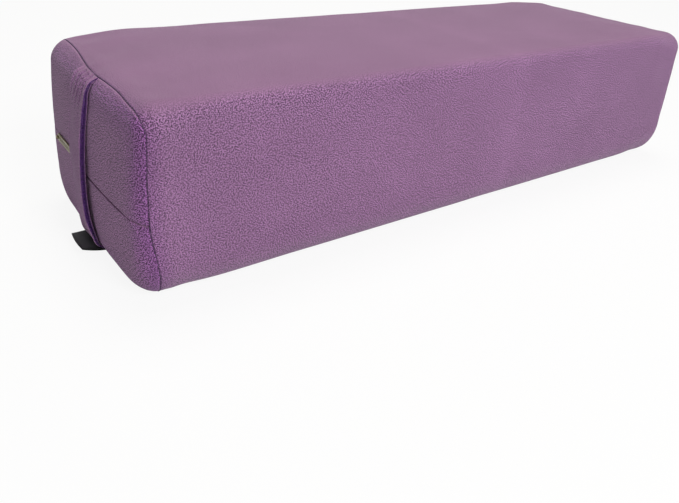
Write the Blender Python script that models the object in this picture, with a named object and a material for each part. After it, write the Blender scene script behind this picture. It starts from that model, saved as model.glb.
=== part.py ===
# Rectangular yoga bolster: layered foam in a zipped fabric cover with a carrying strap.
# Metres, +Z up. The origin is at the middle of the flat base. The near end, with the strap
# and the zip, faces -X, the front long side faces -Y, and the bolster lies along X.

from math import acos, atan2, cos, degrees, pi, radians, sin

import bmesh
import bpy
from mathutils import Matrix, Vector

for old in list(bpy.data.objects):
    bpy.data.objects.remove(old, do_unlink=True)

# Overall size of the filled bolster, over its crowns
LENGTH = 0.660
WIDTH = 0.210
HEIGHT = 0.152

# Form of the filled cover
TOP_CROWN = 0.002
SIDE_CROWN = 0.0008
END_CROWN = 0.008
END_TURN = 0.017
DRAW_LENGTH = 0.052
TOP_EDGE_DROP = 0.002
TOP_EDGE_MIDDLE = 0.011
TOP_EDGE_END = 0.019
BASE_EDGE_MIDDLE = 0.031
BASE_EDGE_END = 0.038
LEAST_EDGE = 0.002

# Layers, from the cover inwards
COVER_CLOTH = 0.0012
LINER_CLOTH = 0.0006
BATTING = 0.005
SOFT_FOAM = 0.030
LAYER_GAP = 0.0005
SEAM_GAP = 0.0003
RUNNING_GAP = 0.0003
LINER_SLIT = 0.0012
BATTING_BUTT_GAP = 0.002

# Zip line across the near end
ZIP_HEIGHT = 0.0705
ZIP_FALL = 0.0114
HEM_WIDTH = 0.009
HEM_STEP = 0.0015
SLIT_WIDTH = 0.0018
OPEN_LINE = 0.146
LINE_CLOSE = 0.008

# Zip chain
TOOTH_PITCH = 0.0029
TOOTH_THICKNESS = 0.0020
TOOTH_NECK = 0.0007
TOOTH_HEAD = 0.0016
TOOTH_TIP = 0.0010
HEAD_LENGTH = 0.0015
HEAD_LAP = 0.0002
TIP_CLEARANCE = 0.0004
SPINE_WIDTH = 0.0011
TAPE_WIDTH = 0.0125
TAPE_THICKNESS = 0.0006
TAPE_LEVEL_RUN = 0.0017
TAPE_RISE_RUN = 0.0028
TAPE_SPARE = 0.006
STOP_LENGTH = 0.0026
STOP_WALL = 0.0005
STOP_WEB = 0.0013
STOP_OVERHANG = 0.0012

# Zip slider and its bridge
SLIDER_PLACE = 0.060
SLIDER_LENGTH = 0.011
SLIDER_PLATE = 0.0010
SLIDER_SHOULDER = 0.0006
SLIDER_CORNER = 0.0008
FLANGE_WIDTH = 0.0007
FLANGE_GAP = 0.0004
FLANGE_INSET = 0.00015
TAPE_SLOT_GAP = 0.00035
WEDGE_HALF_WIDTH = 0.0013
WEDGE_LENGTH = 0.0038
WEDGE_START = 0.0010
BRIDGE_THICKNESS = 0.0012
BRIDGE_BAR = 0.0010
BRIDGE_POST = 0.0012
BRIDGE_CORNER = 0.0006

# Pull tab
TAB_LENGTH = 0.044
TAB_WIDTH = 0.0056
TAB_THICKNESS = 0.0012
TAB_BAR = 0.0012
TAB_LIFT = 0.0006
TAB_SKEW_DEGREES = 8.0
TAB_HOLE_WIDTH = 0.0026
TAB_HOLE_SPARE = 0.0008
TAB_BAR_PLAY = 0.0006
TAB_BAR_GAP = 0.0004
TAB_GROOVE_WIDTH = 0.0009
TAB_GROOVE_DEPTH = 0.0003
TAB_GROOVE_PITCH = 0.0016
TAB_GROOVE_MARGIN = 0.0030

# Carrying strap
STRAP_WIDTH = 0.0345
STRAP_END_WIDTH = 0.033
STRAP_MIDDLE = -0.0020
STRAP_TOP_MIDDLE = 0.0008
STRAP_THICKNESS = 0.0032
STRAP_END_THICKNESS = 0.0026
STRAP_CLOTH = 0.0007
STRAP_LIFT = 0.0012
STRAP_LOW_LIFT = 0.0024
WEBBING_THICKNESS = 0.0009
WEBBING_MARGIN = 0.0022

# Woven tag
TAG_WIDTH = 0.0266
TAG_LENGTH = 0.0163
TAG_RISE_DEGREES = 21.0
TAG_CLOTH = 0.0004
TAG_FOLD_GAP = 0.0004
TAG_ROOT_RUN = 0.0045

# Facets round the section: up a side, round an edge, along the top or the base
SIDE_STEPS = 2
EDGE_STEPS = 4
FLAT_STEPS = 6
HALF_STEPS = 2 * SIDE_STEPS + 2 * EDGE_STEPS + FLAT_STEPS
TURN_STEPS = 3
LINER_TURN_STEPS = 4
DRAW_STEPS = 3

# Where the seam of the near end lies round the end turn, as shares of the quarter turn, from
# the front end of the zip line down under the base to its back end, and on over the top
SEAM_LOW_SHARES = (
    0.46, 0.39, 0.29, 0.20, 0.12, 0.06, 0.08, 0.26, 0.55, 0.67, 0.53, 0.33, 0.22, 0.18, 0.20, 0.24,
    0.30, 0.36, 0.42)
SEAM_TOP_SHARES = (
    0.42, 0.40, 0.36, 0.31, 0.26, 0.23, 0.23, 0.27, 0.38, 0.50, 0.44, 0.45, 0.58, 0.60, 0.59, 0.55,
    0.48, 0.48, 0.46)
FAR_SEAM_SHARE = 0.46

# How far across the end each column of a panel runs to the zip line, as a share of half the
# flat of the end, from one side to the other
FAN_SHARES = (1.00, 0.955, 0.915, 0.875, 0.84, 0.805, 0.77, 0.51, 0.255, 0.0)
FAN_ROW_SHARES = (0.0, 0.34, 0.68)

# The part of the lining's slit, as a share of its half length, over which each end closes
LINER_CLOSE_SHARE = 0.15

# Values that follow from those above
HALF_WIDTH = WIDTH / 2
TURN_START = LENGTH / 2 - END_CROWN - END_TURN
QUARTER_TURN = END_TURN * pi / 2
END_FLAT_HALF = HALF_WIDTH - SIDE_CROWN - END_TURN
LINER_INSET = COVER_CLOTH + LAYER_GAP
BATTING_INSET = LINER_INSET + LINER_CLOTH + LAYER_GAP
FOAM_INSET = BATTING_INSET + BATTING + LAYER_GAP
HEM_DEPTH = 2 * COVER_CLOTH
PLATE_DEPTH = HEM_DEPTH + RUNNING_GAP
TOOTH_DEPTH = PLATE_DEPTH + SLIDER_PLATE + RUNNING_GAP
CHAIN_DEPTH = TOOTH_DEPTH + TOOTH_THICKNESS / 2
INNER_PLATE_DEPTH = TOOTH_DEPTH + TOOTH_THICKNESS + RUNNING_GAP
POCKET_DEPTH = INNER_PLATE_DEPTH + SLIDER_PLATE + RUNNING_GAP
SETBACK = POCKET_DEPTH - LINER_INSET
ZIP_RADIUS = HALF_WIDTH**2 / (2 * END_CROWN)
ZIP_TILT = atan2(ZIP_FALL, WIDTH)
ZIP_CENTRE = Vector((ZIP_RADIUS - LENGTH / 2, 0, ZIP_HEIGHT))
ZIP_UP = Vector((0, -sin(ZIP_TILT), cos(ZIP_TILT)))
SPINE_INNER = HEAD_LAP + HEAD_LENGTH + TIP_CLEARANCE
SPINE_OUTER = SPINE_INNER + SPINE_WIDTH
TAPE_EDGE = SPINE_OUTER + RUNNING_GAP
SLIDER_TAIL = SLIDER_PLACE - SLIDER_LENGTH / 2
SLIDER_NOSE = SLIDER_PLACE + SLIDER_LENGTH / 2
TOP_STOP_START = SLIDER_NOSE + RUNNING_GAP
CHAIN_END = TOP_STOP_START + STOP_LENGTH
CHAIN_START = -CHAIN_END
LAST_TOOTH_LIMIT = SLIDER_PLACE + WEDGE_START - RUNNING_GAP
FIRST_TOOTH_LIMIT = CHAIN_START + STOP_LENGTH + RUNNING_GAP
TAB_PIVOT_DEPTH = -(TAB_LIFT + TAB_THICKNESS / 2)


# General helpers

def mix(first, second, share):
    return first + (second - first) * share


def clamp(value, low, high):
    return min(max(value, low), high)


def ease(share):
    return share * share * (3 - 2 * share)


def finish(name, mesh, colour, roughness, metallic=0.0, origin=None, smooth_angle=40):
    """Make the named object from a mesh in world coordinates, with its own material."""
    mesh.name = name
    material = bpy.data.materials.new(name)
    material.use_nodes = True
    shader = material.node_tree.nodes["Principled BSDF"]
    shader.inputs["Base Color"].default_value = (*colour, 1)
    shader.inputs["Roughness"].default_value = roughness
    shader.inputs["Metallic"].default_value = metallic
    material.diffuse_color = (*colour, 1)
    mesh.materials.append(material)
    mesh.shade_smooth()
    mesh.set_sharp_from_angle(angle=radians(smooth_angle))
    item = bpy.data.objects.new(name, mesh)
    bpy.context.scene.collection.objects.link(item)
    if origin is not None:
        mesh.transform(Matrix.Translation(-origin))
        item.location = origin
    return item


def mesh_from_faces(faces):
    """A mesh from lists of corner points. Equal corners become one vertex."""
    shape = bmesh.new()
    found = {}
    for corners in faces:
        face = []
        for corner in corners:
            key = tuple(round(value, 7) for value in corner)
            if key not in found:
                found[key] = shape.verts.new(corner)
            if found[key] not in face:
                face.append(found[key])
        if len(face) > 2:
            shape.faces.new(face)
    bmesh.ops.recalc_face_normals(shape, faces=shape.faces)
    mesh = bpy.data.meshes.new("shape")
    shape.to_mesh(mesh)
    shape.free()
    return mesh


def strip(first, second, closed=False):
    """Quads between two rows of points."""
    count = len(first)
    last = count if closed else count - 1
    return [
        (first[i], first[(i + 1) % count], second[(i + 1) % count], second[i])
        for i in range(last)
    ]


def grid(rows, closed=False):
    """Quads over successive rows of points."""
    return [quad for low, high in zip(rows, rows[1:]) for quad in strip(low, high, closed)]


def tube(outer, inner):
    """An open-ended wall between two stacks of closed rows."""
    ends = strip(outer[0], inner[0], True) + strip(outer[-1], inner[-1], True)
    return grid(outer, True) + grid(inner, True) + ends


def sheet(outer, inner):
    """A wall between two open grids, closed along all four edges."""
    sides = []
    for column in (0, -1):
        sides += strip([row[column] for row in outer], [row[column] for row in inner])
    ends = strip(outer[0], inner[0]) + strip(outer[-1], inner[-1])
    return grid(outer) + grid(inner) + sides + ends


def prism_faces(outline, low, high, place):
    """The faces of an outline drawn from low to high; place maps it into the world."""
    bottom = [place(a, b, low) for a, b in outline]
    top = [place(a, b, high) for a, b in outline]
    return strip(bottom, top, True) + [bottom, top]


def tool_from_faces(name, faces):
    """A helper solid that a Boolean adds or cuts with. It is no piece of the bolster."""
    tool = bpy.data.objects.new(name, mesh_from_faces(faces))
    bpy.context.scene.collection.objects.link(tool)
    tool.hide_render = True
    tool.display_type = "WIRE"
    return tool


def combine(item, tool, operation):
    step = item.modifiers.new(tool.name, "BOOLEAN")
    step.operation = operation
    step.solver = "EXACT"
    step.object = tool


# Outer form of the bolster: sections across it, and the turn into each end

def zip_line_height(y):
    return ZIP_HEIGHT + y * ZIP_FALL / WIDTH


def half_section(upper, inset, draw, shrink, split=0.0):
    """Points (y, z) of the section above or below the zip line, from side to side.

    inset is the depth below the outer skin, draw is 0 at mid-length and 1 at the ends, and
    shrink is what the end turn has drawn in. The upper half runs from back to front.
    """
    side = 1 if upper else -1
    half_width = HALF_WIDTH - SIDE_CROWN - inset - shrink
    top = HEIGHT - TOP_CROWN - TOP_EDGE_DROP * draw - inset - shrink
    base = inset + shrink
    if upper:
        radius = mix(TOP_EDGE_MIDDLE, TOP_EDGE_END, draw)
    else:
        radius = mix(BASE_EDGE_MIDDLE, BASE_EDGE_END, draw)
    radius = max(radius - inset - shrink, LEAST_EDGE)
    edge = top if upper else base
    corner = edge - side * radius
    flat = half_width - radius
    starts = [zip_line_height(place * half_width) + side * split for place in (side, -side)]
    points = []
    for k in range(SIDE_STEPS):
        points.append((side * half_width, mix(starts[0], corner, k / SIDE_STEPS)))
    for k in range(EDGE_STEPS):
        angle = pi / 2 * k / EDGE_STEPS
        points.append((side * (flat + radius * cos(angle)), corner + side * radius * sin(angle)))
    for k in range(FLAT_STEPS):
        points.append((side * flat * (1 - 2 * k / FLAT_STEPS), edge))
    for k in range(EDGE_STEPS):
        angle = pi / 2 * k / EDGE_STEPS
        points.append((-side * (flat + radius * sin(angle)), corner + side * radius * cos(angle)))
    for k in range(SIDE_STEPS + 1):
        points.append((-side * half_width, mix(corner, starts[1], k / SIDE_STEPS)))
    middle = (top + base) / 2
    crowned = []
    for y, z in points:
        across = y / half_width
        upright = (z - middle) / (top - middle)
        swell = SIDE_CROWN * (1 - draw) * (1 - upright**2) * across
        rise = TOP_CROWN * (1 - draw) * (1 - across**2) * max(upright, 0)
        crowned.append((y + swell, z + rise))
    return crowned


def end_swell(y, z):
    """How far the middle of an end stands out beyond its edge."""
    return END_CROWN * (1 - (y / HALF_WIDTH) ** 2) * (1 - (2 * z / HEIGHT - 1) ** 2)


def skin_row(upper, end, reaches, inset, setback=0.0, split=0.0):
    """A half row of the skin. end is -1 or 1. A reach is the distance along the outer skin
    past the start of the end turn, and negative on the long side."""
    if not isinstance(reaches, (list, tuple)):
        reaches = [reaches] * (HALF_STEPS + 1)
    row = []
    for i, reach in enumerate(reaches):
        draw = ease(clamp(1 + reach / DRAW_LENGTH, 0, 1))
        angle = clamp(reach / END_TURN, 0, pi / 2)
        turn = END_TURN - inset
        y, z = half_section(upper, inset, draw, turn * (1 - cos(angle)), split)[i]
        x = TURN_START + min(reach, 0) + (turn + end_swell(y, z)) * sin(angle)
        row.append(Vector((end * (x - setback), y, z)))
    return row


def full_row(end, reach, inset, setback=0.0):
    """A closed row of the skin: under the base from front to back, then over the top."""
    return skin_row(False, end, reach, inset, setback)[:-1] + skin_row(True, end, reach, inset, setback)[:-1]


def seam_reaches(upper):
    shares = SEAM_TOP_SHARES if upper else SEAM_LOW_SHARES
    return [share * QUARTER_TURN for share in shares]


def slit_half_width(y):
    """Half the gap between the two lips: open along the chain, sewn shut beyond it."""
    beyond = clamp((abs(y) - OPEN_LINE / 2) / LINE_CLOSE, 0, 1)
    return mix(SLIT_WIDTH, SEAM_GAP, ease(beyond)) / 2


def fan_rows(upper, end, inset, setback, lip, hem=0.0, split=0.0):
    """Rows over the end itself, from the end of the turn to the zip line.

    lip gives half the gap at the line for a y, and hem is the extra depth of a folded edge.
    """
    side = 1 if upper else -1
    edge = skin_row(upper, end, QUARTER_TURN, inset, setback, split)
    shares = list(FAN_SHARES) + [-share for share in FAN_SHARES[-2::-1]]
    targets = []
    for i, share in enumerate(shares):
        y = side * share * abs(edge[0].y)
        targets.append((y, zip_line_height(y) + side * lip(y)))
    last = HALF_STEPS
    rows = []
    for step in range(len(FAN_ROW_SHARES) + 3):
        row = []
        for i, (point, target) in enumerate(zip(edge, targets)):
            if i in (0, last):
                row.append(point.copy())
                continue
            away = Vector((point.y - target[0], point.z - target[1]))
            hem_share = min(HEM_WIDTH / away.length, 0.75)
            step_share = min((HEM_WIDTH - HEM_STEP) / away.length, 0.6)
            if step < len(FAN_ROW_SHARES):
                reach = mix(1, hem_share, FAN_ROW_SHARES[step])
            else:
                reach = (hem_share, step_share, 0)[step - len(FAN_ROW_SHARES)]
            y = target[0] + away.x * reach
            z = target[1] + away.y * reach
            extra = hem if step > len(FAN_ROW_SHARES) else 0
            x = TURN_START + END_TURN - inset - extra + end_swell(y, z) - setback
            row.append(Vector((end * x, y, z)))
        rows.append(row)
    return rows


# Cover: one wrap-around sleeve, two half panels at the near end and one panel at the far end

def build_sleeve():
    stacks = []
    for inset in (0.0, COVER_CLOTH):
        rows = []
        for k in range(TURN_STEPS, 0, -1):
            share = k / TURN_STEPS
            low = skin_row(False, -1, [reach * share for reach in seam_reaches(False)], inset)
            top = skin_row(True, -1, [reach * share for reach in seam_reaches(True)], inset)
            rows.append(low[:-1] + top[:-1])
        for k in range(DRAW_STEPS + 1):
            rows.append(full_row(-1, -DRAW_LENGTH * k / DRAW_STEPS, inset))
        rows.append(full_row(-1, -TURN_START, inset))
        for k in range(DRAW_STEPS, -1, -1):
            rows.append(full_row(1, -DRAW_LENGTH * k / DRAW_STEPS, inset))
        for k in range(1, TURN_STEPS + 1):
            rows.append(full_row(1, FAR_SEAM_SHARE * QUARTER_TURN * k / TURN_STEPS, inset))
        stacks.append(rows)
    finish("cover_sleeve", mesh_from_faces(tube(*stacks)), (0.26, 0.13, 0.26), 0.85)


def near_panel_rows(upper, inset, hem):
    reaches = [reach + SEAM_GAP for reach in seam_reaches(upper)]
    split = SEAM_GAP / 2
    rows = []
    for k in range(TURN_STEPS):
        row = [mix(reach, QUARTER_TURN, k / TURN_STEPS) for reach in reaches]
        rows.append(skin_row(upper, -1, row, inset, split=split))
    return rows + fan_rows(upper, -1, inset, 0.0, slit_half_width, hem, split)


def build_near_panels():
    for name, upper in (("near_panel_upper", True), ("near_panel_lower", False)):
        outer = near_panel_rows(upper, 0.0, 0.0)
        inner = near_panel_rows(upper, COVER_CLOTH, HEM_DEPTH - COVER_CLOTH)
        finish(name, mesh_from_faces(sheet(outer, inner)), (0.22, 0.11, 0.22), 0.85)


def cap_faces(end, inset, setback, start, steps):
    """Faces from a reach on the end turn over the whole end, closed along the zip line."""
    faces = []
    for upper in (False, True):
        rows = []
        for k in range(steps):
            reach = mix(start, QUARTER_TURN, k / steps)
            rows.append(skin_row(upper, end, reach, inset, setback))
        rows += fan_rows(upper, end, inset, setback, lambda y: 0.0)
        faces += grid(rows)
    return faces


def build_far_panel():
    start = FAR_SEAM_SHARE * QUARTER_TURN + SEAM_GAP
    faces = strip(full_row(1, start, 0.0), full_row(1, start, COVER_CLOTH), True)
    for inset in (0.0, COVER_CLOTH):
        faces += cap_faces(1, inset, 0.0, start, TURN_STEPS)
    finish("far_panel", mesh_from_faces(faces), (0.22, 0.11, 0.22), 0.85)


# Filling: a lining bag, a batting wrap and three slabs of foam

def long_rows(inset, near_steps, far_steps):
    """Closed rows from the near end turn to the far one, set back at the near end."""
    rows = []
    for k in range(near_steps, 0, -1):
        rows.append(full_row(-1, QUARTER_TURN * k / near_steps, inset, SETBACK))
    for k in range(DRAW_STEPS + 1):
        rows.append(full_row(-1, -DRAW_LENGTH * k / DRAW_STEPS, inset, SETBACK))
    rows.append(full_row(-1, -TURN_START, inset))
    for k in range(DRAW_STEPS, -1, -1):
        rows.append(full_row(1, -DRAW_LENGTH * k / DRAW_STEPS, inset))
    for k in range(1, far_steps + 1):
        rows.append(full_row(1, QUARTER_TURN * k / far_steps, inset))
    return rows


def liner_lip(y):
    """Half the gap of the lining's slit, which closes at both ends of its run."""
    closed = FAN_SHARES[1] * END_FLAT_HALF
    share = clamp((closed - LINER_SLIT / 2 - abs(y)) / (closed * LINER_CLOSE_SHARE), 0, 1)
    return LINER_SLIT / 2 * ease(share)


def build_liner():
    faces = []
    lips = []
    for inset in (LINER_INSET, LINER_INSET + LINER_CLOTH):
        faces += grid(long_rows(inset, LINER_TURN_STEPS, LINER_TURN_STEPS), True)
        for upper in (False, True):
            faces += grid(fan_rows(upper, 1, inset, 0.0, lambda y: 0.0))
            rows = fan_rows(upper, -1, inset, SETBACK, liner_lip)
            faces += grid(rows)
            lips.append(rows[-1][1:-1])
    faces += strip(lips[0], lips[2]) + strip(lips[1], lips[3])
    finish("inner_liner", mesh_from_faces(faces), (0.78, 0.76, 0.72), 0.9)


def build_batting():
    """A fibre sheet wrapped round the foam, its two edges butted under the base."""
    butt = FLAT_STEPS // 2 + SIDE_STEPS + EDGE_STEPS
    stacks = []
    for inset in (BATTING_INSET, BATTING_INSET + BATTING):
        rows = []
        for row in long_rows(inset, 0, 0):
            middle = row[butt]
            start = middle + Vector((0, BATTING_BUTT_GAP / 2, 0))
            end = middle - Vector((0, BATTING_BUTT_GAP / 2, 0))
            rows.append([start] + row[butt + 1:] + row[:butt] + [end])
        stacks.append(rows)
    finish("batting_wrap", mesh_from_faces(sheet(*stacks)), (0.9, 0.9, 0.88), 0.95)


def foam_slab(name, low, high, colour):
    """One slab of the foam block, cut from the block's rounded form by level planes."""
    faces = grid(long_rows(FOAM_INSET, LINER_TURN_STEPS, LINER_TURN_STEPS), True)
    for end, setback in ((-1, SETBACK), (1, 0.0)):
        for upper in (False, True):
            faces += grid(fan_rows(upper, end, FOAM_INSET, setback, lambda y: 0.0))
    mesh = mesh_from_faces(faces)
    shape = bmesh.new()
    shape.from_mesh(mesh)
    for level, clear_above in ((low, False), (high, True)):
        if level is None:
            continue
        parts = shape.verts[:] + shape.edges[:] + shape.faces[:]
        bmesh.ops.bisect_plane(
            shape, geom=parts, dist=1e-7, plane_co=(0, 0, level), plane_no=(0, 0, 1),
            clear_outer=clear_above, clear_inner=not clear_above)
        rim = [edge for edge in shape.edges if edge.is_boundary]
        bmesh.ops.edgeloop_fill(shape, edges=rim)
    bmesh.ops.recalc_face_normals(shape, faces=shape.faces)
    shape.to_mesh(mesh)
    shape.free()
    finish(name, mesh, colour, 0.9)


def build_foam():
    low_cut = FOAM_INSET + SOFT_FOAM
    top_cut = HEIGHT - FOAM_INSET - SOFT_FOAM
    half_gap = RUNNING_GAP / 2
    foam_slab("foam_layer_bottom", None, low_cut - half_gap, (0.85, 0.80, 0.62))
    foam_slab("foam_core", low_cut + half_gap, top_cut - half_gap, (0.62, 0.66, 0.70))
    foam_slab("foam_layer_top", top_cut + half_gap, None, (0.85, 0.80, 0.62))


# Zip: a chain on an arc just behind the crowned end, meshed teeth, slider, stops and pull tab

def zip_point(along, across, depth):
    """A point by its distance along the chain from the middle, above it, and below the skin."""
    angle = along / ZIP_RADIUS
    outward = Vector((-cos(angle), sin(angle) * cos(ZIP_TILT), sin(angle) * sin(ZIP_TILT)))
    return ZIP_CENTRE + outward * (ZIP_RADIUS - depth) + ZIP_UP * across


def tooth_places(side):
    """Where the teeth of one row stand along the chain. The rows are half a pitch apart."""
    shift = TOOTH_PITCH / 4 * side
    half_head = TOOTH_HEAD / 2
    count = int((LAST_TOOTH_LIMIT - FIRST_TOOTH_LIMIT) / TOOTH_PITCH) + 2
    places = [FIRST_TOOTH_LIMIT + TOOTH_PITCH * k + shift for k in range(count)]
    fits = [
        place for place in places
        if place - half_head > FIRST_TOOTH_LIMIT and place + half_head < LAST_TOOTH_LIMIT
    ]
    return fits


def build_teeth():
    """Each row is one comb: a spine on the tape's edge with necks and heads. The heads of one
    row reach past those of the other and are wider than the space between them."""
    for name, side in (("zipper_teeth_upper", 1), ("zipper_teeth_lower", -1)):
        plan = []
        neck, head, tip = TOOTH_NECK / 2, TOOTH_HEAD / 2, TOOTH_TIP / 2
        shoulder = side * -HEAD_LAP
        head_end = side * -(HEAD_LAP + HEAD_LENGTH)
        root, back = side * SPINE_INNER, side * SPINE_OUTER
        at = CHAIN_START
        for place in tooth_places(side):
            for start, stop in ((at, place - neck), (place - neck, place + neck)):
                plan.append(((start, root), (stop, root), (stop, back), (start, back)))
            at = place + neck
            low, high = place - neck, place + neck
            plan.append(((low, shoulder), (high, shoulder), (high, root), (low, root)))
            plan.append((
                (place - tip, head_end), (place + tip, head_end), (place + head, shoulder),
                (high, shoulder), (low, shoulder), (place - head, shoulder)))
        plan.append(((at, root), (CHAIN_END, root), (CHAIN_END, back), (at, back)))
        faces = []
        edges = {}
        for cell in plan:
            for depth in (TOOTH_DEPTH, TOOTH_DEPTH + TOOTH_THICKNESS):
                faces.append([zip_point(a, b, depth) for a, b in cell])
            for first, second in zip(cell, cell[1:] + cell[:1]):
                key = frozenset((
                    tuple(round(v, 7) for v in first), tuple(round(v, 7) for v in second)))
                edges.setdefault(key, []).append((first, second))
        for walls in edges.values():
            if len(walls) == 1:
                (a, b), (c, d) = walls[0]
                low, high = TOOTH_DEPTH, TOOTH_DEPTH + TOOTH_THICKNESS
                faces.append([
                    zip_point(a, b, low), zip_point(c, d, low), zip_point(c, d, high),
                    zip_point(a, b, high)])
        finish(name, mesh_from_faces(faces), (0.10, 0.05, 0.10), 0.5)


def skin_drop(along, across):
    """How far the skin of the end lies behind the chain's arc, beside the zip line."""
    point = zip_point(along, across, 0)
    return -point.x - TURN_START - END_TURN - end_swell(point.y, point.z)


def build_tapes():
    """Each tape runs level through the slider, then rises to lie against the panel's hem."""
    rest = HEM_DEPTH + RUNNING_GAP + TAPE_THICKNESS / 2
    level_end = TAPE_EDGE + TAPE_LEVEL_RUN
    rise_end = level_end + TAPE_RISE_RUN
    steps = 2 * FLAT_STEPS
    end = CHAIN_END + TAPE_SPARE
    for name, side in (("zipper_tape_upper", 1), ("zipper_tape_lower", -1)):
        stacks = []
        for half in (-TAPE_THICKNESS / 2, TAPE_THICKNESS / 2):
            rows = []
            for k in range(steps + 1):
                along = mix(-end, end, k / steps)
                row = [zip_point(along, side * w, CHAIN_DEPTH + half) for w in (TAPE_EDGE, level_end)]
                for w in (rise_end, TAPE_EDGE + TAPE_WIDTH):
                    depth = rest + skin_drop(along, side * w) + half
                    row.append(zip_point(along, side * w, depth))
                rows.append(row)
            stacks.append(rows)
        finish(name, mesh_from_faces(sheet(*stacks)), (0.12, 0.06, 0.12), 0.8)


def build_stops():
    """The two top stops clasp the spines past the slider; the bottom stop joins both rows."""
    outer = TOOTH_DEPTH - RUNNING_GAP
    inner = TOOTH_DEPTH + TOOTH_THICKNESS + RUNNING_GAP
    web = SPINE_INNER - RUNNING_GAP
    lip = SPINE_OUTER + STOP_OVERHANG
    clasp = (
        (web - STOP_WALL, outer - STOP_WALL), (lip, outer - STOP_WALL), (lip, outer),
        (web, outer), (web, inner), (lip, inner), (lip, inner + STOP_WALL),
        (web - STOP_WALL, inner + STOP_WALL))
    for name, side in (("zipper_top_stop_upper", 1), ("zipper_top_stop_lower", -1)):
        outline = [(side * w, depth) for w, depth in clasp]
        faces = prism_faces(
            outline, TOP_STOP_START, CHAIN_END, lambda w, depth, along: zip_point(along, w, depth))
        finish(name, mesh_from_faces(faces), (0.35, 0.30, 0.20), 0.4, 0.8)
    box = [
        (lip, outer), (lip, outer - STOP_WALL), (-lip, outer - STOP_WALL), (-lip, outer),
        (-STOP_WEB, outer), (-STOP_WEB, inner), (-lip, inner), (-lip, inner + STOP_WALL),
        (lip, inner + STOP_WALL), (lip, inner), (STOP_WEB, inner), (STOP_WEB, outer)]
    faces = prism_faces(
        box, CHAIN_START, CHAIN_START + STOP_LENGTH,
        lambda w, depth, along: zip_point(along, w, depth))
    finish("zipper_bottom_stop", mesh_from_faces(faces), (0.35, 0.30, 0.20), 0.4, 0.8)


def build_slider():
    """Two plates joined by the wedge that parts the rows, with flanges that leave a slot for
    each tape, and a bridge that stands out through the slit to hold the pull tab."""
    flange_out = SPINE_OUTER + FLANGE_GAP + FLANGE_WIDTH
    flange_in = SPINE_OUTER + FLANGE_GAP
    shoulder = flange_out + SLIDER_SHOULDER
    side = (
        (SLIDER_TAIL, flange_in), (SLIDER_TAIL + SLIDER_CORNER, flange_out),
        (SLIDER_PLACE + WEDGE_START, flange_out),
        (SLIDER_PLACE + WEDGE_START + SLIDER_CORNER, shoulder),
        (SLIDER_NOSE - SLIDER_CORNER, shoulder), (SLIDER_NOSE, flange_in))
    outline = list(side) + [(along, -across) for along, across in reversed(side)]
    plates = prism_faces(outline, PLATE_DEPTH, PLATE_DEPTH + SLIDER_PLATE, zip_point)
    slider = finish(
        "zipper_slider", mesh_from_faces(plates), (0.36, 0.31, 0.20), 0.35, 0.85,
        origin=ZIP_CENTRE)
    sink = SLIDER_PLATE / 2
    inner = tool_from_faces("tool_inner_plate", prism_faces(
        outline, INNER_PLATE_DEPTH, INNER_PLATE_DEPTH + SLIDER_PLATE, zip_point))
    wedge_middle = SLIDER_PLACE + WEDGE_START + WEDGE_LENGTH / 2
    wedge = (
        (wedge_middle - WEDGE_LENGTH / 2, 0), (wedge_middle, -WEDGE_HALF_WIDTH),
        (wedge_middle + WEDGE_LENGTH / 2, 0), (wedge_middle, WEDGE_HALF_WIDTH))
    tools = [tool_from_faces("tool_wedge", prism_faces(
        wedge, PLATE_DEPTH + sink, INNER_PLATE_DEPTH + sink, zip_point)), inner]
    slot = TAPE_THICKNESS / 2 + TAPE_SLOT_GAP
    walls = (
        ("outer", PLATE_DEPTH + sink, CHAIN_DEPTH - slot),
        ("inner", CHAIN_DEPTH + slot, INNER_PLATE_DEPTH + sink))
    start = SLIDER_TAIL + SLIDER_CORNER + FLANGE_INSET
    stop = SLIDER_NOSE - SLIDER_CORNER - FLANGE_INSET
    near, far = flange_in + FLANGE_INSET, flange_out - FLANGE_INSET
    for where, low, high in walls:
        for sign in (1, -1):
            bar = [
                (start, sign * near), (stop, sign * near), (stop, sign * far), (start, sign * far)]
            tools.append(tool_from_faces(
                "tool_flange_%s_%d" % (where, sign), prism_faces(bar, low, high, zip_point)))
    for tool in tools:
        combine(slider, tool, "UNION")
    combine(slider, build_bridge(), "UNION")


def build_bridge():
    """The arch that the tab's bar turns in, with its neck through the slit."""
    half_window = TAB_BAR / 2 + TAB_BAR_PLAY
    half_height = TAB_BAR / 2 + TAB_BAR_GAP
    half_length = half_window + BRIDGE_POST
    crest = TAB_PIVOT_DEPTH - half_height - BRIDGE_BAR
    foot = PLATE_DEPTH + SLIDER_PLATE / 2
    outer = (
        (-half_length, foot), (-half_length, crest + BRIDGE_CORNER),
        (BRIDGE_CORNER - half_length, crest), (half_length - BRIDGE_CORNER, crest),
        (half_length, crest + BRIDGE_CORNER), (half_length, foot))
    low, high = TAB_PIVOT_DEPTH + half_height, TAB_PIVOT_DEPTH - half_height
    window = (
        (-half_window, low), (-half_window, mix(low, high, 1 / 2)), (-half_window, high),
        (half_window, high), (half_window, mix(low, high, 1 / 2)), (half_window, low))
    rings = []
    for across in (-BRIDGE_THICKNESS / 2, BRIDGE_THICKNESS / 2):
        for outline in (outer, window):
            rings.append([zip_point(SLIDER_PLACE + a, across, depth) for a, depth in outline])
    faces = strip(rings[0], rings[2], True) + strip(rings[1], rings[3], True)
    faces += strip(rings[0], rings[1], True) + strip(rings[2], rings[3], True)
    return tool_from_faces("tool_bridge", faces)


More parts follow.
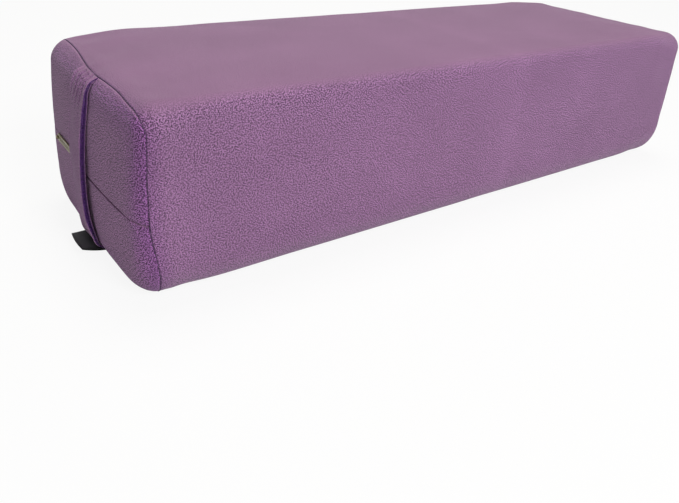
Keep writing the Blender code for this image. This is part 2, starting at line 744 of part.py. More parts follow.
def tab_frame():
    """The pull tab's pivot, and its directions along, across and out from the end."""
    pivot = zip_point(SLIDER_PLACE, 0, TAB_PIVOT_DEPTH)
    far_end = zip_point(SLIDER_PLACE - TAB_LENGTH, 0, TAB_PIVOT_DEPTH)
    chord = (far_end - pivot).normalized()
    skew = radians(TAB_SKEW_DEGREES)
    along = chord * cos(skew) + ZIP_UP * sin(skew)
    across = ZIP_UP * cos(skew) - chord * sin(skew)
    return pivot, along, across, across.cross(along).normalized()


def build_pull_tab():
    """A long flat tab: a bar in the bridge, a slot for the bridge, a rounded tip and two
    grooves along the outer face."""
    pivot, along, across, out = tab_frame()
    if out.x > 0:
        out = -out

    def place(a, b, height):
        return pivot + along * a + across * b + out * height

    half = TAB_WIDTH / 2
    tip_steps = 6
    tip_start = TAB_LENGTH - half
    outline = [(-TAB_BAR / 2, -half), (tip_start, -half)]
    for k in range(1, tip_steps):
        angle = pi * k / tip_steps
        outline.append((tip_start + half * sin(angle), -half * cos(angle)))
    outline += [(tip_start, half), (-TAB_BAR / 2, half)]
    faces = prism_faces(outline, -TAB_THICKNESS / 2, TAB_THICKNESS / 2, place)
    tab = finish(
        "zipper_pull_tab", mesh_from_faces(faces), (0.36, 0.31, 0.20), 0.35, 0.85, origin=pivot)
    hole_end = TAB_BAR / 2 + TAB_BAR_PLAY + BRIDGE_POST + TAB_HOLE_SPARE
    hole = [
        (TAB_BAR / 2, -TAB_HOLE_WIDTH / 2), (hole_end, -TAB_HOLE_WIDTH / 2),
        (hole_end, TAB_HOLE_WIDTH / 2), (TAB_BAR / 2, TAB_HOLE_WIDTH / 2)]
    combine(tab, tool_from_faces(
        "tool_tab_slot", prism_faces(hole, -TAB_THICKNESS, TAB_THICKNESS, place)), "DIFFERENCE")
    for sign in (-1, 1):
        middle = sign * TAB_GROOVE_PITCH / 2
        low, high = middle - TAB_GROOVE_WIDTH / 2, middle + TAB_GROOVE_WIDTH / 2
        start, stop = hole_end + TAB_GROOVE_MARGIN, tip_start
        groove = [(start, low), (stop, low), (stop, high), (start, high)]
        combine(tab, tool_from_faces("tool_tab_groove_%d" % sign, prism_faces(
            groove, TAB_THICKNESS / 2 - TAB_GROOVE_DEPTH, TAB_THICKNESS, place)), "DIFFERENCE")


# Carrying strap and woven tag

def end_profile(height_share, y):
    """A point of the near end's outer skin on the upright line at y, and its outward normal.

    height_share runs from the top of the end turn, 0, to its base, 1.
    """
    top = HEIGHT - TOP_CROWN - TOP_EDGE_DROP
    z = mix(top, 0, height_share)
    from_edge = min(top - z, z)
    angle = acos(clamp(1 - from_edge / END_TURN, 0, 1))
    x = TURN_START + (END_TURN + end_swell(y, z)) * sin(angle)
    return Vector((-x, y, z))


def end_profile_frame(height_share, y):
    step = 1 / 1000
    point = end_profile(height_share, y)
    run = end_profile(min(height_share + step, 1), y) - end_profile(max(height_share - step, 0), y)
    run.normalize()
    return point, run, Vector((0, 1, 0)).cross(run)


def turn_share(reach, low):
    """The height share of a place on the end turn, by its reach from the long side."""
    top = HEIGHT - TOP_CROWN - TOP_EDGE_DROP
    share = END_TURN * (1 - cos(reach / END_TURN)) / top
    return 1 - share if low else share


def strap_stations():
    """(height share, lift, end, place across) along the strap, from the top seam to the bottom
    seam."""
    middle = HALF_STEPS // 2
    top_start = SEAM_TOP_SHARES[middle] * QUARTER_TURN + SEAM_GAP
    low_start = SEAM_LOW_SHARES[middle] * QUARTER_TURN + SEAM_GAP
    places = [turn_share(mix(top_start, QUARTER_TURN, k / TURN_STEPS), False) for k in range(TURN_STEPS)]
    face_top = turn_share(QUARTER_TURN, False)
    face_low = turn_share(QUARTER_TURN, True)
    face_steps = 7
    places += [mix(face_top, face_low, k / face_steps) for k in range(face_steps + 1)]
    places += [turn_share(mix(QUARTER_TURN, low_start, k / 2), True) for k in (1, 2)]
    stations = []
    for share in places:
        run = (share - places[0]) / (places[-1] - places[0])
        lift = mix(STRAP_LIFT, STRAP_LOW_LIFT, ease(run))
        end = ease(clamp(min(run, 1 - run) * 6, 0, 1))
        across = mix(STRAP_TOP_MIDDLE, STRAP_MIDDLE, ease(clamp(run * 6, 0, 1)))
        stations.append((share, mix(RUNNING_GAP, lift, end), end, across))
    return stations


def strap_section(width, thickness, lift):
    """A flat loop with rounded edges: (across, out) points."""
    radius = thickness / 2
    flat = width / 2 - radius
    points = []
    for sign, start in ((1, -pi / 2), (-1, pi / 2)):
        for k in range(4):
            angle = start + pi * k / 3
            points.append((sign * flat + radius * cos(angle), lift + radius + radius * sin(angle)))
    return points


def strap_rows(margin, thin):
    rows = []
    for share, lift, end, middle in strap_stations():
        width = mix(STRAP_END_WIDTH, STRAP_WIDTH, end) - 2 * margin
        thickness = mix(STRAP_END_THICKNESS, STRAP_THICKNESS, end) - 2 * thin
        point, run, normal = end_profile_frame(share, middle)
        row = []
        for across, out in strap_section(width, thickness, lift + thin):
            row.append(point + Vector((0, across, 0)) + normal * out)
        rows.append(row)
    return rows


def build_strap():
    outer = strap_rows(0.0, 0.0)
    inner = strap_rows(STRAP_CLOTH, STRAP_CLOTH)
    finish("handle_strap", mesh_from_faces(tube(outer, inner)), (0.24, 0.12, 0.24), 0.85)
    thin = (STRAP_THICKNESS - WEBBING_THICKNESS) / 2
    core = strap_rows(WEBBING_MARGIN, thin)
    faces = grid(core, True) + [core[0], core[-1]]
    finish("handle_webbing", mesh_from_faces(faces), (0.15, 0.08, 0.15), 0.8)


def build_tag():
    """A strip folded once, its two ends sewn into the bottom seam under the strap."""
    middle = HALF_STEPS // 2
    seam = SEAM_LOW_SHARES[middle] * QUARTER_TURN
    point, run, normal = end_profile_frame(turn_share(seam, True), STRAP_MIDDLE)
    root = point + run * (TAG_CLOTH * 2 + TAG_FOLD_GAP) + normal * RUNNING_GAP
    bend = root + normal * TAG_ROOT_RUN
    rise = radians(TAG_RISE_DEGREES)
    level, down = Vector((-cos(rise), 0, sin(rise))), Vector((-sin(rise), 0, -cos(rise)))
    reach = TAG_LENGTH - TAG_ROOT_RUN
    route = [(root, run), (bend, (run + down).normalized()), (bend + level * reach, down)]
    half_gap = TAG_FOLD_GAP / 2
    outer = half_gap + TAG_CLOTH
    lower_out = [place + off * outer for place, off in route]
    lower_in = [place + off * half_gap for place, off in route]
    upper_in = [place - off * half_gap for place, off in route]
    upper_out = [place - off * outer for place, off in route]
    fold = route[-1][0] + level * outer
    fold_in = route[-1][0] + level * half_gap
    outline = lower_out + [fold] + upper_out[::-1] + upper_in + [fold_in] + lower_in[::-1]
    rows = []
    for across in (-TAG_WIDTH / 2, TAG_WIDTH / 2):
        rows.append([place + Vector((0, across, 0)) for place in outline])
    faces = strip(rows[0], rows[1], True)
    count = len(lower_out)
    for row in rows:
        lower_o, tip, upper_o = row[:count], row[count], row[count + 1:2 * count + 1][::-1]
        upper_i, tip_i, lower_i = row[2 * count + 1:3 * count + 1], row[3 * count + 1], row[3 * count + 2:][::-1]
        faces += strip(lower_o + [tip], lower_i + [tip_i])
        faces += strip(upper_o + [tip], upper_i + [tip_i])
    finish("woven_tag", mesh_from_faces(faces), (0.012, 0.010, 0.014), 0.7)


build_sleeve()
build_near_panels()
build_far_panel()
build_liner()
build_batting()
build_foam()
build_teeth()
build_tapes()
build_stops()
build_slider()
build_pull_tab()
build_strap()
build_tag()
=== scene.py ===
from math import atan2, cos, exp, pi, radians, sin

import bmesh
import bpy
import numpy as np
from mathutils import Matrix, Vector, kdtree


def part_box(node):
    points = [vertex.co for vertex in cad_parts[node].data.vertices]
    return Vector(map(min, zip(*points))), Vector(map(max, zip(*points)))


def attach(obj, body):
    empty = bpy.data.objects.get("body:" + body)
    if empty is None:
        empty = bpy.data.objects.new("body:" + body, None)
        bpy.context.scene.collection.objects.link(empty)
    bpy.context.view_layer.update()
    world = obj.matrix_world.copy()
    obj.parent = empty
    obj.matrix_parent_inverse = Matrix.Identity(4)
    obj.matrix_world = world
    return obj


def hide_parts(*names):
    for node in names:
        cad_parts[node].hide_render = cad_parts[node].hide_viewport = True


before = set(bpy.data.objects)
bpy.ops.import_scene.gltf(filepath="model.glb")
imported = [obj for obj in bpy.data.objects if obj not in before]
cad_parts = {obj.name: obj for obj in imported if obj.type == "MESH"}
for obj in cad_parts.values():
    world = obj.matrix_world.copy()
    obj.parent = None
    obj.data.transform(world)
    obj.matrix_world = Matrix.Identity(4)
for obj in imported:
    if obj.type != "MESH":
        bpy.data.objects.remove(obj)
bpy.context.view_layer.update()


# The form of the filled cover: a sleeve round the four long sides and a panel in each end.
# The cover is pulled tight over a block of foam, so its sides are nearly flat, its long edges
# are round, and each end swells a little. All that lies on it or in it takes its place here.
LENGTH, WIDTH, HEIGHT = 0.660, 0.210, 0.152
TOP_CROWN, SIDE_CROWN, END_CROWN = 0.002, 0.0008, 0.008
END_TURN, DRAW_LENGTH, TOP_EDGE_DROP = 0.017, 0.052, 0.002
TOP_EDGES, BASE_EDGES, LEAST_EDGE = (0.011, 0.019), (0.031, 0.038), 0.002
EAR, EAR_AT, EAR_COLUMNS, EAR_REACH, EAR_OUT, EAR_DOWN = 0.0022, 0.004, 1.9, 0.015, 0.4, 0.9
ZIP_HEIGHT, ZIP_FALL = 0.0705, 0.0114
SIDE_STEPS, EDGE_STEPS, FLAT_STEPS = 6, 8, 20
HALF_STEPS = 2 * SIDE_STEPS + 2 * EDGE_STEPS + FLAT_STEPS
AROUND = 2 * HALF_STEPS
TURN_START = LENGTH / 2 - END_CROWN - END_TURN
QUARTER_TURN = END_TURN * pi / 2


def mix(first, second, share):
    return first + (second - first) * share


def ease(share):
    share = min(max(share, 0.0), 1.0)
    return share * share * (3 - 2 * share)


def zip_line_height(y):
    return ZIP_HEIGHT + y * ZIP_FALL / WIDTH


def end_swell(y, z):
    return END_CROWN * (1 - (2 * y / WIDTH) ** 2) * (1 - (2 * z / HEIGHT - 1) ** 2)


def across_section(column, near_end, inset, shrink):
    """A point (y, z) of the cross-section, where near_end goes from 0 to 1 as the cover is drawn
    in to an end. Columns count round it from the front end of the zip line, down and under the
    base to the back, then over the top."""
    draw = ease(near_end)
    upper, k = column % AROUND >= HALF_STEPS, column % HALF_STEPS
    side = 1 if upper else -1
    half = WIDTH / 2 - SIDE_CROWN - inset - shrink
    top = HEIGHT - TOP_CROWN - TOP_EDGE_DROP * draw - inset - shrink
    edge = top if upper else inset + shrink
    full_radius = mix(*(TOP_EDGES if upper else BASE_EDGES), near_end**2)
    radius = max(full_radius - inset - shrink, LEAST_EDGE)
    corner, flat = edge - side * radius, half - radius
    if k < SIDE_STEPS:
        y, z = side * half, mix(zip_line_height(side * half), corner, k / SIDE_STEPS)
    elif k < SIDE_STEPS + EDGE_STEPS:
        angle = pi / 2 * (k - SIDE_STEPS) / EDGE_STEPS
        y, z = side * (flat + radius * cos(angle)), corner + side * radius * sin(angle)
    elif k < SIDE_STEPS + EDGE_STEPS + FLAT_STEPS:
        y, z = side * flat * (1 - 2 * (k - SIDE_STEPS - EDGE_STEPS) / FLAT_STEPS), edge
    elif k < HALF_STEPS - SIDE_STEPS:
        angle = pi / 2 * (k - SIDE_STEPS - EDGE_STEPS - FLAT_STEPS) / EDGE_STEPS
        y, z = -side * (flat + radius * sin(angle)), corner + side * radius * cos(angle)
    else:
        share = (k - HALF_STEPS + SIDE_STEPS) / SIDE_STEPS
        y, z = -side * half, mix(corner, zip_line_height(-side * half), share)
    across, upright = y / half, 2 * (z - inset - shrink) / (top - inset - shrink) - 1
    y += SIDE_CROWN * (1 - draw) * (1 - upright**2) * across
    z += TOP_CROWN * (1 - draw) * (1 - across**2) * max(upright, 0)
    return y, z


def skin_point(column, reach, inset=0.0, end=-1, setback=0.0):
    """A point of the form. Reach runs over the end turn, and is negative on the long side. The
    seam pulls each corner of the base out into a small ear."""
    angle = min(max(reach / END_TURN, 0), pi / 2)
    turn = END_TURN - inset
    y, z = across_section(
        column, min(max(1 + reach / DRAW_LENGTH, 0), 1), inset, turn * (1 - cos(angle)))
    if inset == 0 and column % AROUND < HALF_STEPS:
        from_corner = abs(HALF_STEPS / 2 - column % AROUND) - FLAT_STEPS / 2 - EDGE_STEPS / 2
        ear = EAR * exp(-(from_corner / EAR_COLUMNS) ** 2 - ((reach - EAR_AT) / EAR_REACH) ** 2)
        y += ear * EAR_OUT * (1 if y > 0 else -1)
        z = max(z - ear * EAR_DOWN, 0)
    x = TURN_START + min(reach, 0) + (turn + end_swell(y, z)) * sin(angle)
    return Vector((end * (x - setback), y, z))


# Where each panel is sewn to the sleeve. The seam wanders round the near end as the photograph
# shows it: round the corner on the sides, back at the base's corners, forward under the tag.
# The shares are parts of the quarter turn into the end, at places spaced round each half.
LOW_SEAM_SHARES = (
    0.46, 0.39, 0.29, 0.20, 0.12, 0.06, 0.08, 0.26, 0.55, 0.67, 0.53, 0.33, 0.22, 0.18, 0.20, 0.24,
    0.30, 0.36, 0.42)
TOP_SEAM_SHARES = (
    0.42, 0.40, 0.36, 0.31, 0.26, 0.23, 0.22, 0.25, 0.38, 0.51, 0.45, 0.45, 0.58, 0.60, 0.59, 0.55,
    0.48, 0.48, 0.46)
FAR_SEAM_SHARE = 0.46
FAN_SHARES = (1.00, 0.955, 0.915, 0.875, 0.84, 0.805, 0.77, 0.51, 0.255, 0.0)
SEAM_ROWS, CLOSE_ROWS_END = (0.0, 0.0009, 0.0028), -0.012
HEM_ROWS = ((0.009, 0.40), (0.0045, 0.22), (0.0016, 0.10))
HEM_REACH, HEM_FADE = 0.012, 0.02

share_places = range(len(LOW_SEAM_SHARES))
stations = [2 * k / SIDE_STEPS for k in range(SIDE_STEPS)]
stations += [2 + 4 * k / EDGE_STEPS for k in range(EDGE_STEPS)]
stations += [6 + 6 * k / FLAT_STEPS for k in range(FLAT_STEPS)]
stations += [12 + 4 * k / EDGE_STEPS for k in range(EDGE_STEPS)]
stations += [16 + 2 * k / SIDE_STEPS for k in range(SIDE_STEPS + 1)]
seam = np.concatenate([
    np.interp(stations[:-1], share_places, shares) for shares in (LOW_SEAM_SHARES, TOP_SEAM_SHARES)])
for _ in range(2):
    seam = (np.roll(seam, 1) + 2 * seam + np.roll(seam, -1)) / 4
NEAR_SEAM = list(seam * QUARTER_TURN)
FAR_SEAM = [FAR_SEAM_SHARE * QUARTER_TURN] * AROUND
other_side = tuple(-share for share in FAN_SHARES[-2::-1])
fan_shares = np.interp(stations, share_places, FAN_SHARES + other_side)


def panel_reaches(seams):
    """Rows of reaches from the seam to the end of the turn."""
    rows = [[r + step for r in seams] for step in SEAM_ROWS]
    rows += [[mix(r + SEAM_ROWS[-1], QUARTER_TURN, k / 4) for r in seams] for k in (1, 2, 3, 4)]
    return rows


def sleeve_reaches(seams):
    """Rows of reaches from the seam back along the long sides to the middle."""
    rows = [[r - step for r in seams] for step in SEAM_ROWS]
    rows += [[mix(r - SEAM_ROWS[-1], CLOSE_ROWS_END, k / 4) for r in seams] for k in (1, 2, 3, 4)]
    rows += [[mix(CLOSE_ROWS_END, -DRAW_LENGTH, k / 6)] * AROUND for k in range(1, 7)]
    rows += [[mix(-DRAW_LENGTH, -TURN_START, k / 16)] * AROUND for k in range(1, 17)]
    return rows


def fan_row_shares(away):
    """Rows over the flat of an end: from its rim, 1, to the zip line, 0, where they crowd up at
    set distances, or at set shares where the rim is near."""
    hem, *close = [min(distance / away, share) for distance, share in HEM_ROWS]
    return [mix(1, hem, k / 4) for k in (1, 2, 3, 4)] + close + [0.0]


class Form:
    """Corners and faces of the closed form, with the piece of cloth that each face is cut from."""

    def __init__(self):
        self.index, self.places, self.faces, self.cloth = {}, [], [], []

    def corner(self, key, place):
        if key not in self.index:
            self.index[key] = len(self.places)
            self.places.append(tuple(place))
        return self.index[key]

    def rows(self, rows, cloth, closed=True, flip=False):
        for low, high in zip(rows, rows[1:]):
            count = len(low) if closed else len(low) - 1
            for i in range(count):
                j = (i + 1) % len(low)
                face = list(dict.fromkeys((low[i], low[j], high[j], high[i])))
                if len(face) > 2:
                    self.faces.append(face[::-1] if flip else face)
                    self.cloth.append(cloth)

    def end(self, end, seams, inset=0.0, setback=0.0, cloths=(1, 2)):
        """One end, from its seam to the zip line, in an upper and a lower half."""
        reaches = panel_reaches(seams)
        for upper in (False, True):
            start, cloth = (HALF_STEPS, cloths[0]) if upper else (0, cloths[1])
            rows = []
            for r, row in enumerate(reaches):
                rows.append([
                    self.corner((end, "turn", r, c % AROUND), skin_point(
                        c, row[c % AROUND], inset, end, setback))
                    for c in range(start, start + HALF_STEPS + 1)])
            rim = [Vector(self.places[i]) for i in rows[-1]]
            side = 1 if upper else -1
            for f in range(len(fan_row_shares(1.0))):
                row = []
                for k, point in enumerate(rim):
                    y = side * fan_shares[k] * abs(rim[0].y)
                    line = Vector((0, y, zip_line_height(y)))
                    away = Vector((0, point.y, point.z)) - line
                    if k in (0, HALF_STEPS):
                        row.append(rows[-1][k])
                        continue
                    share = fan_row_shares(away.length)[f]
                    spot = line + away * share
                    x = TURN_START + END_TURN - inset + end_swell(spot.y, spot.z) - setback
                    if share == 0:
                        key = (end, "line", HALF_STEPS - k if upper else k)
                    else:
                        key = (end, "fan", upper, f, k)
                    row.append(self.corner(key, (end * x, spot.y, spot.z)))
                rows.append(row)
            self.rows(rows, cloth, closed=False, flip=end < 0)

    def sleeve(self, near, far, inset=0.0, setback=0.0):
        rows = []
        for end, reaches in ((-1, sleeve_reaches(near)), (1, sleeve_reaches(far)[-2::-1])):
            for r, row in enumerate(reaches):
                first = r == 0 if end < 0 else r == len(reaches) - 1
                back = setback * ease(1 + row[0] / TURN_START) if end < 0 else 0.0
                rows.append([
                    self.corner((end, "turn", 0, c) if first else (end, "long", r, c), skin_point(
                        c, row[c], inset, end, back)) for c in range(AROUND)])
        self.rows(rows, 0)

    def mesh(self, name):
        mesh = bpy.data.meshes.new(name)
        mesh.from_pydata(self.places, [], self.faces)
        mesh.update()
        return mesh


def new_object(name, mesh):
    item = bpy.data.objects.new(name, mesh)
    bpy.context.scene.collection.objects.link(item)
    return item


form = Form()
form.sleeve(NEAR_SEAM, FAR_SEAM)
form.end(-1, NEAR_SEAM)
form.end(1, FAR_SEAM, cloths=(3, 3))
form_mesh = form.mesh("cover_form")
flat_form = np.array(form.places)
zip_distance = np.abs(flat_form[:, 2] - ZIP_HEIGHT - flat_form[:, 1] * ZIP_FALL / WIDTH)
on_near_end = flat_form[:, 0] < -TURN_START
on_far_end = flat_form[:, 0] > TURN_START
held_line = (on_near_end | on_far_end) & (zip_distance < HEM_REACH)


# The cover is blown up by a slack of cloth over the foam while its seams draw in. The broad
# swelling is the foam's own shape and is left out, and what remains gives the faces their faint
# waves. Where the zip's hem stiffens the panel, the cloth stays put.
WAVE_HEIGHT, SLIDE_LIMIT, CLOTH_FRAMES, SMOOTHING_PASSES = 0.0007, 0.0008, 20, 30


def vertex_normals(mesh):
    normals = np.zeros(len(mesh.vertices) * 3)
    mesh.vertices.foreach_get("normal", normals)
    return normals.reshape(-1, 3)


cloth_form = new_object("cover_cloth", form_mesh.copy())
pinned = cloth_form.vertex_groups.new(name="held")
drawn = cloth_form.vertex_groups.new(name="drawn")
pinned.add([int(i) for i in np.nonzero(held_line)[0]], 1.0, "REPLACE")
seam_rows = [i for key, i in form.index.items() if key[1] == "turn" and key[2] == 0]
drawn.add(seam_rows, 1.0, "REPLACE")
cloth = cloth_form.modifiers.new("Cloth", "CLOTH")
settings = cloth.settings
settings.quality = 5
settings.mass = 0.2
settings.tension_stiffness = 18
settings.compression_stiffness = 12
settings.shear_stiffness = 5
settings.bending_stiffness = 0.3
settings.vertex_group_mass = "held"
settings.vertex_group_shrink = "drawn"
settings.shrink_min = -0.012
settings.shrink_max = 0.035
settings.use_pressure = True
settings.uniform_pressure_force = 1.5
settings.effector_weights.gravity = 0
cloth.point_cache.frame_start, cloth.point_cache.frame_end = 1, CLOTH_FRAMES
for step in range(CLOTH_FRAMES):
    bpy.context.scene.frame_set(step + 1)
blown = cloth_form.evaluated_get(bpy.context.evaluated_depsgraph_get())
after = np.zeros(len(form.places) * 3)
blown.data.vertices.foreach_get("co", after)
after = after.reshape(-1, 3)
bpy.data.objects.remove(cloth_form, do_unlink=True)
bpy.context.scene.frame_set(1)
moved = after - flat_form
normals = vertex_normals(form_mesh)
out = np.einsum("ij,ij->i", moved, normals)
along = moved - out[:, None] * normals
ends = np.array([edge.vertices for edge in form_mesh.edges])
neighbours = np.bincount(ends.ravel(), minlength=len(out))
swollen = out.copy()
for _ in range(SMOOTHING_PASSES):
    total = np.bincount(ends[:, 0], swollen[ends[:, 1]], len(out))
    total += np.bincount(ends[:, 1], swollen[ends[:, 0]], len(out))
    swollen = (swollen + total / neighbours) / 2
out -= swollen
out = np.clip(out * WAVE_HEIGHT / np.percentile(np.abs(out), 97), -WAVE_HEIGHT, WAVE_HEIGHT)
length = np.linalg.norm(along, axis=1)[:, None]
along *= np.minimum(1, SLIDE_LIMIT / np.maximum(length, 1e-9))
free = np.clip((zip_distance - HEM_REACH) / HEM_FADE, 0, 1)
free = np.where(on_near_end, free, 1.0)[:, None]
flat_form = flat_form + (out[:, None] * normals + along) * free
flat_form[:, 2] = np.maximum(flat_form[:, 2], 0.0)
for vertex, place in zip(form_mesh.vertices, flat_form):
    vertex.co = place
form_mesh.update()


# Cloth of the cover: brushed microfibre in mauve, with a short nap that lies in small pebbled
# tufts. On top the nap is smoother, and its colour is painted paler with fainter tufts as a
# painted sheen of the light that grazes it. The nap scatters light at a low angle.
MAUVE, STRAP_MAUVE = (0.262, 0.135, 0.262), (0.253, 0.126, 0.256)
LOOKS_ALONG, GRAIN_TURN, LEAST_SPECKLE = 0.7, 0.5, 0.05


def feed(tree, entry, value):
    """Give an input its value, or link it where the value is the output of another node."""
    if hasattr(value, "node"):
        tree.links.new(value, entry)
    else:
        entry.default_value = value


def set_inputs(tree, node, **values):
    for key, value in values.items():
        feed(tree, node.inputs[key.replace("_", " ")], value)


def add_node(tree, kind, **values):
    """A new node. Each value is one of its settings or goes to one of its inputs."""
    node = tree.nodes.new(kind)
    for key, value in values.items():
        if hasattr(node, key):
            setattr(node, key, value)
        else:
            set_inputs(tree, node, **{key: value})
    return node


def new_material(name):
    material = bpy.data.materials.new(name)
    material.use_nodes = True
    return material, material.node_tree, material.node_tree.nodes["Principled BSDF"]


def shift_colour(tree, colour, factor):
    """Multiply a colour by a grey factor that comes from a value socket."""
    first = colour if hasattr(colour, "node") else (*colour, 1)
    return add_node(
        tree, "ShaderNodeMix", data_type="RGBA", blend_type="MULTIPLY", Factor=1, A=first,
        B=factor).outputs["Result"]


def range_of(tree, source, low, high, to_low, to_high):
    return add_node(
        tree, "ShaderNodeMapRange", clamp=True, Value=source, From_Min=low, From_Max=high,
        To_Min=to_low, To_Max=to_high).outputs["Result"]


def maths(tree, kind, first, second=0.0):
    step = add_node(tree, "ShaderNodeMath", operation=kind)
    feed(tree, step.inputs[0], first)
    feed(tree, step.inputs[1], second)
    return step.outputs["Value"]


def graded(tree, value, *grades):
    """A value multiplied by others, each one first brought from its own range to a new one."""
    for source, *grade in grades:
        value = maths(tree, "MULTIPLY", value, range_of(tree, source, *grade))
    return value


def noise(tree, place, scale, detail, roughness=0.5, **values):
    return add_node(
        tree, "ShaderNodeTexNoise", Vector=place, Scale=scale, Detail=detail,
        Roughness=roughness, **values).outputs["Fac"]


def split(tree, vector):
    return add_node(tree, "ShaderNodeSeparateXYZ", Vector=vector).outputs


def stretched(tree, place, **values):
    return add_node(tree, "ShaderNodeMapping", Vector=place, **values).outputs["Vector"]


def bumped(tree, height, strength, distance):
    return add_node(
        tree, "ShaderNodeBump", Height=height, Strength=strength,
        Distance=distance).outputs["Normal"]


def flat_place(tree, spot, facing):
    """A place in the plane that its face looks out of: an end, the top or base, or a side."""
    flat = []
    for axis in ("X", "Z"):
        along = maths(tree, "GREATER_THAN", maths(tree, "ABSOLUTE", facing[axis]), LOOKS_ALONG)
        to_y = maths(tree, "SUBTRACT", spot["Y"], spot[axis])
        flat.append(maths(tree, "ADD", spot[axis], maths(tree, "MULTIPLY", to_y, along)))
    place = add_node(tree, "ShaderNodeCombineXYZ", X=flat[0], Y=flat[1])
    return stretched(tree, place.outputs["Vector"], Rotation=(0, 0, GRAIN_TURN))


def brushed_microfibre(name, colour, tuft=0.74, top_tuft=0.14, shade_tint=(0.76, 0.58, 0.86)):
    """The cloth in one colour. Its tufts show by a share on the sides and a painted fainter share on
    top, where the colour is also painted paler as sheen. Where a seam, a groove or a fold lies in
    shade, its colour is multiplied by the shade tint as painted shade."""
    material, tree, shader = new_material(name)
    coordinates = add_node(tree, "ShaderNodeTexCoord").outputs
    place = coordinates["Object"]
    spot, facing = split(tree, place), split(tree, coordinates["Normal"])
    # Painted sheen: the more a face looks up, the paler its colour and the fainter its tufts, as
    # grazing light makes the top look.
    painted_top_sheen = range_of(tree, facing["Z"], 0.55, 0.97, 0.0, 1.0)
    # Marks on the mesh: painted shade at seams, grooves and creases, and painted highlights at rims
    # and beside seams.
    painted_shade, painted_highlight = [
        add_node(tree, "ShaderNodeAttribute", attribute_name=mark).outputs["Fac"]
        for mark in ("painted_shade", "painted_highlight")]

    pebble = noise(tree, flat_place(tree, spot, facing), 1200.0, 0.0, noise_dimensions="2D")
    patch = noise(tree, place, 130.0, 2.0)
    fibre = noise(tree, place, 1700.0, 1.0)
    pucker = noise(tree, place, 150.0, 1.0)
    cloud = noise(tree, place, 13.0, 3.0, 0.55)
    stroke = noise(tree, stretched(tree, place, Scale=(0.35, 1.0, 1.0)), 22.0, 4.0, 0.6)

    # The nap shows less toward the near end's seam, and stands up on the end itself.
    depth = graded(
        tree, range_of(tree, painted_top_sheen, 0.0, 1.0, tuft, top_tuft), (patch, 0.35, 0.65, 0.9, 1.08),
        (spot["X"], -0.30, 0.10, 0.78, 1.30), (spot["X"], -0.328, -0.316, 1.6, 1.0))
    tufts = range_of(tree, pebble, 0.38, 0.62, -1.0, 1.0)
    hairs = range_of(tree, fibre, 0.36, 0.64, -0.5, 0.5)
    speckle = maths(tree, "MULTIPLY", maths(tree, "ADD", tufts, hairs), depth)
    speckle = maths(tree, "MAXIMUM", maths(tree, "ADD", speckle, 1.0), LEAST_SPECKLE)
    # Random streaks, and the painted highlight that lightens rims and the rows beside seams.
    streak_and_highlight = graded(
        tree, range_of(tree, stroke, 0.3, 0.7, 0.965, 1.035), (cloud, 0.3, 0.7, 0.95, 1.05),
        (painted_highlight, 0.0, 1.0, 1.0, 1.3))

    # The paler colour of the painted sheen on top.
    sheen_paler = (colour[0] * 1.10, colour[1] * 1.14, colour[2] * 1.03, 1)
    top_sheen_colour = add_node(tree, "ShaderNodeMix", data_type="RGBA", A=(*colour, 1), B=sheen_paler, Factor=painted_top_sheen)
    below_top_sheen = maths(tree, "SUBTRACT", 1.0, painted_top_sheen)
    # Painted shade: the colour is multiplied by the shade tint at seams, grooves and creases, except
    # on top.
    seam_shaded = add_node(
        tree, "ShaderNodeMix", data_type="RGBA", blend_type="MULTIPLY", A=top_sheen_colour.outputs["Result"],
        B=(*shade_tint, 1), Factor=maths(tree, "MULTIPLY", painted_shade, below_top_sheen))
    toned = shift_colour(tree, seam_shaded.outputs["Result"], speckle)

    nap = maths(tree, "ADD", maths(tree, "MULTIPLY", tufts, 0.5), maths(tree, "MULTIPLY", fibre, 0.35))
    nap = graded(tree, nap, (painted_top_sheen, 0.0, 1.0, 1.0, 0.35))
    puckers = maths(tree, "MULTIPLY", pucker, maths(tree, "MULTIPLY", painted_shade, 3.0))
    set_inputs(
        tree, shader, Base_Color=shift_colour(tree, toned, streak_and_highlight), Roughness=0.92,
        Specular_IOR_Level=0.25, Sheen_Weight=0.30, Sheen_Roughness=0.35,
        Sheen_Tint=(0.92, 0.84, 0.93, 1),
        Normal=bumped(tree, maths(tree, "ADD", nap, puckers), 0.45, 0.0007))
    return material


microfibre = brushed_microfibre("brushed_microfibre", MAUVE)
panel_microfibre = brushed_microfibre("panel_microfibre", MAUVE, tuft=0.88, top_tuft=0.16)


# The sleeve and the two end panels, cut from the form along their seams. At each seam the cloth
# rolls in to its seam allowance, and at the zip the panels end in folded hems that stand a
# little apart along the chain and are sewn shut beyond it.
SEAM_DIP, SEAM_BACK, ALLOWANCE = 0.00045, 0.00012, 0.0026
HEM_DIPS, SLIT_WIDTH, OPEN_LINE, LINE_CLOSE = {1: -0.0003, 2: 0.0004}, 0.00132, 0.146, 0.008
# Painted shade near each seam, as its most and the distance it fades over, for the sleeve and then a
# panel; then the painted highlight beside each seam, for the sleeve and a panel.
PAINTED_SHADE, SEAM_HIGHLIGHT = ((0.50, 0.013), (0.95, 0.028)), (0.2, 0.7)


def slit_half_width(y):
    beyond = ease((abs(y) - OPEN_LINE / 2) / LINE_CLOSE)
    return mix(SLIT_WIDTH / 2, SEAM_BACK, beyond)


seam_tree = kdtree.KDTree(2 * AROUND)
for k, key in enumerate([(end, "turn", 0, c) for end in (-1, 1) for c in range(AROUND)]):
    seam_tree.insert(Vector(flat_form[form.index[key]]), k)
seam_tree.balance()


def smooth_mesh(name, places, faces):
    mesh = bpy.data.meshes.new(name)
    mesh.from_pydata([tuple(place) for place in places], [], faces)
    mesh.shade_smooth()
    return mesh


def mark_points(mesh, name, values):
    mark = mesh.attributes.new(name, "FLOAT", "POINT")
    mark.data.foreach_set("value", values)


def soften(piece, levels):
    rounding = piece.modifiers.new("rounding", "SUBSURF")
    rounding.levels = rounding.render_levels = levels


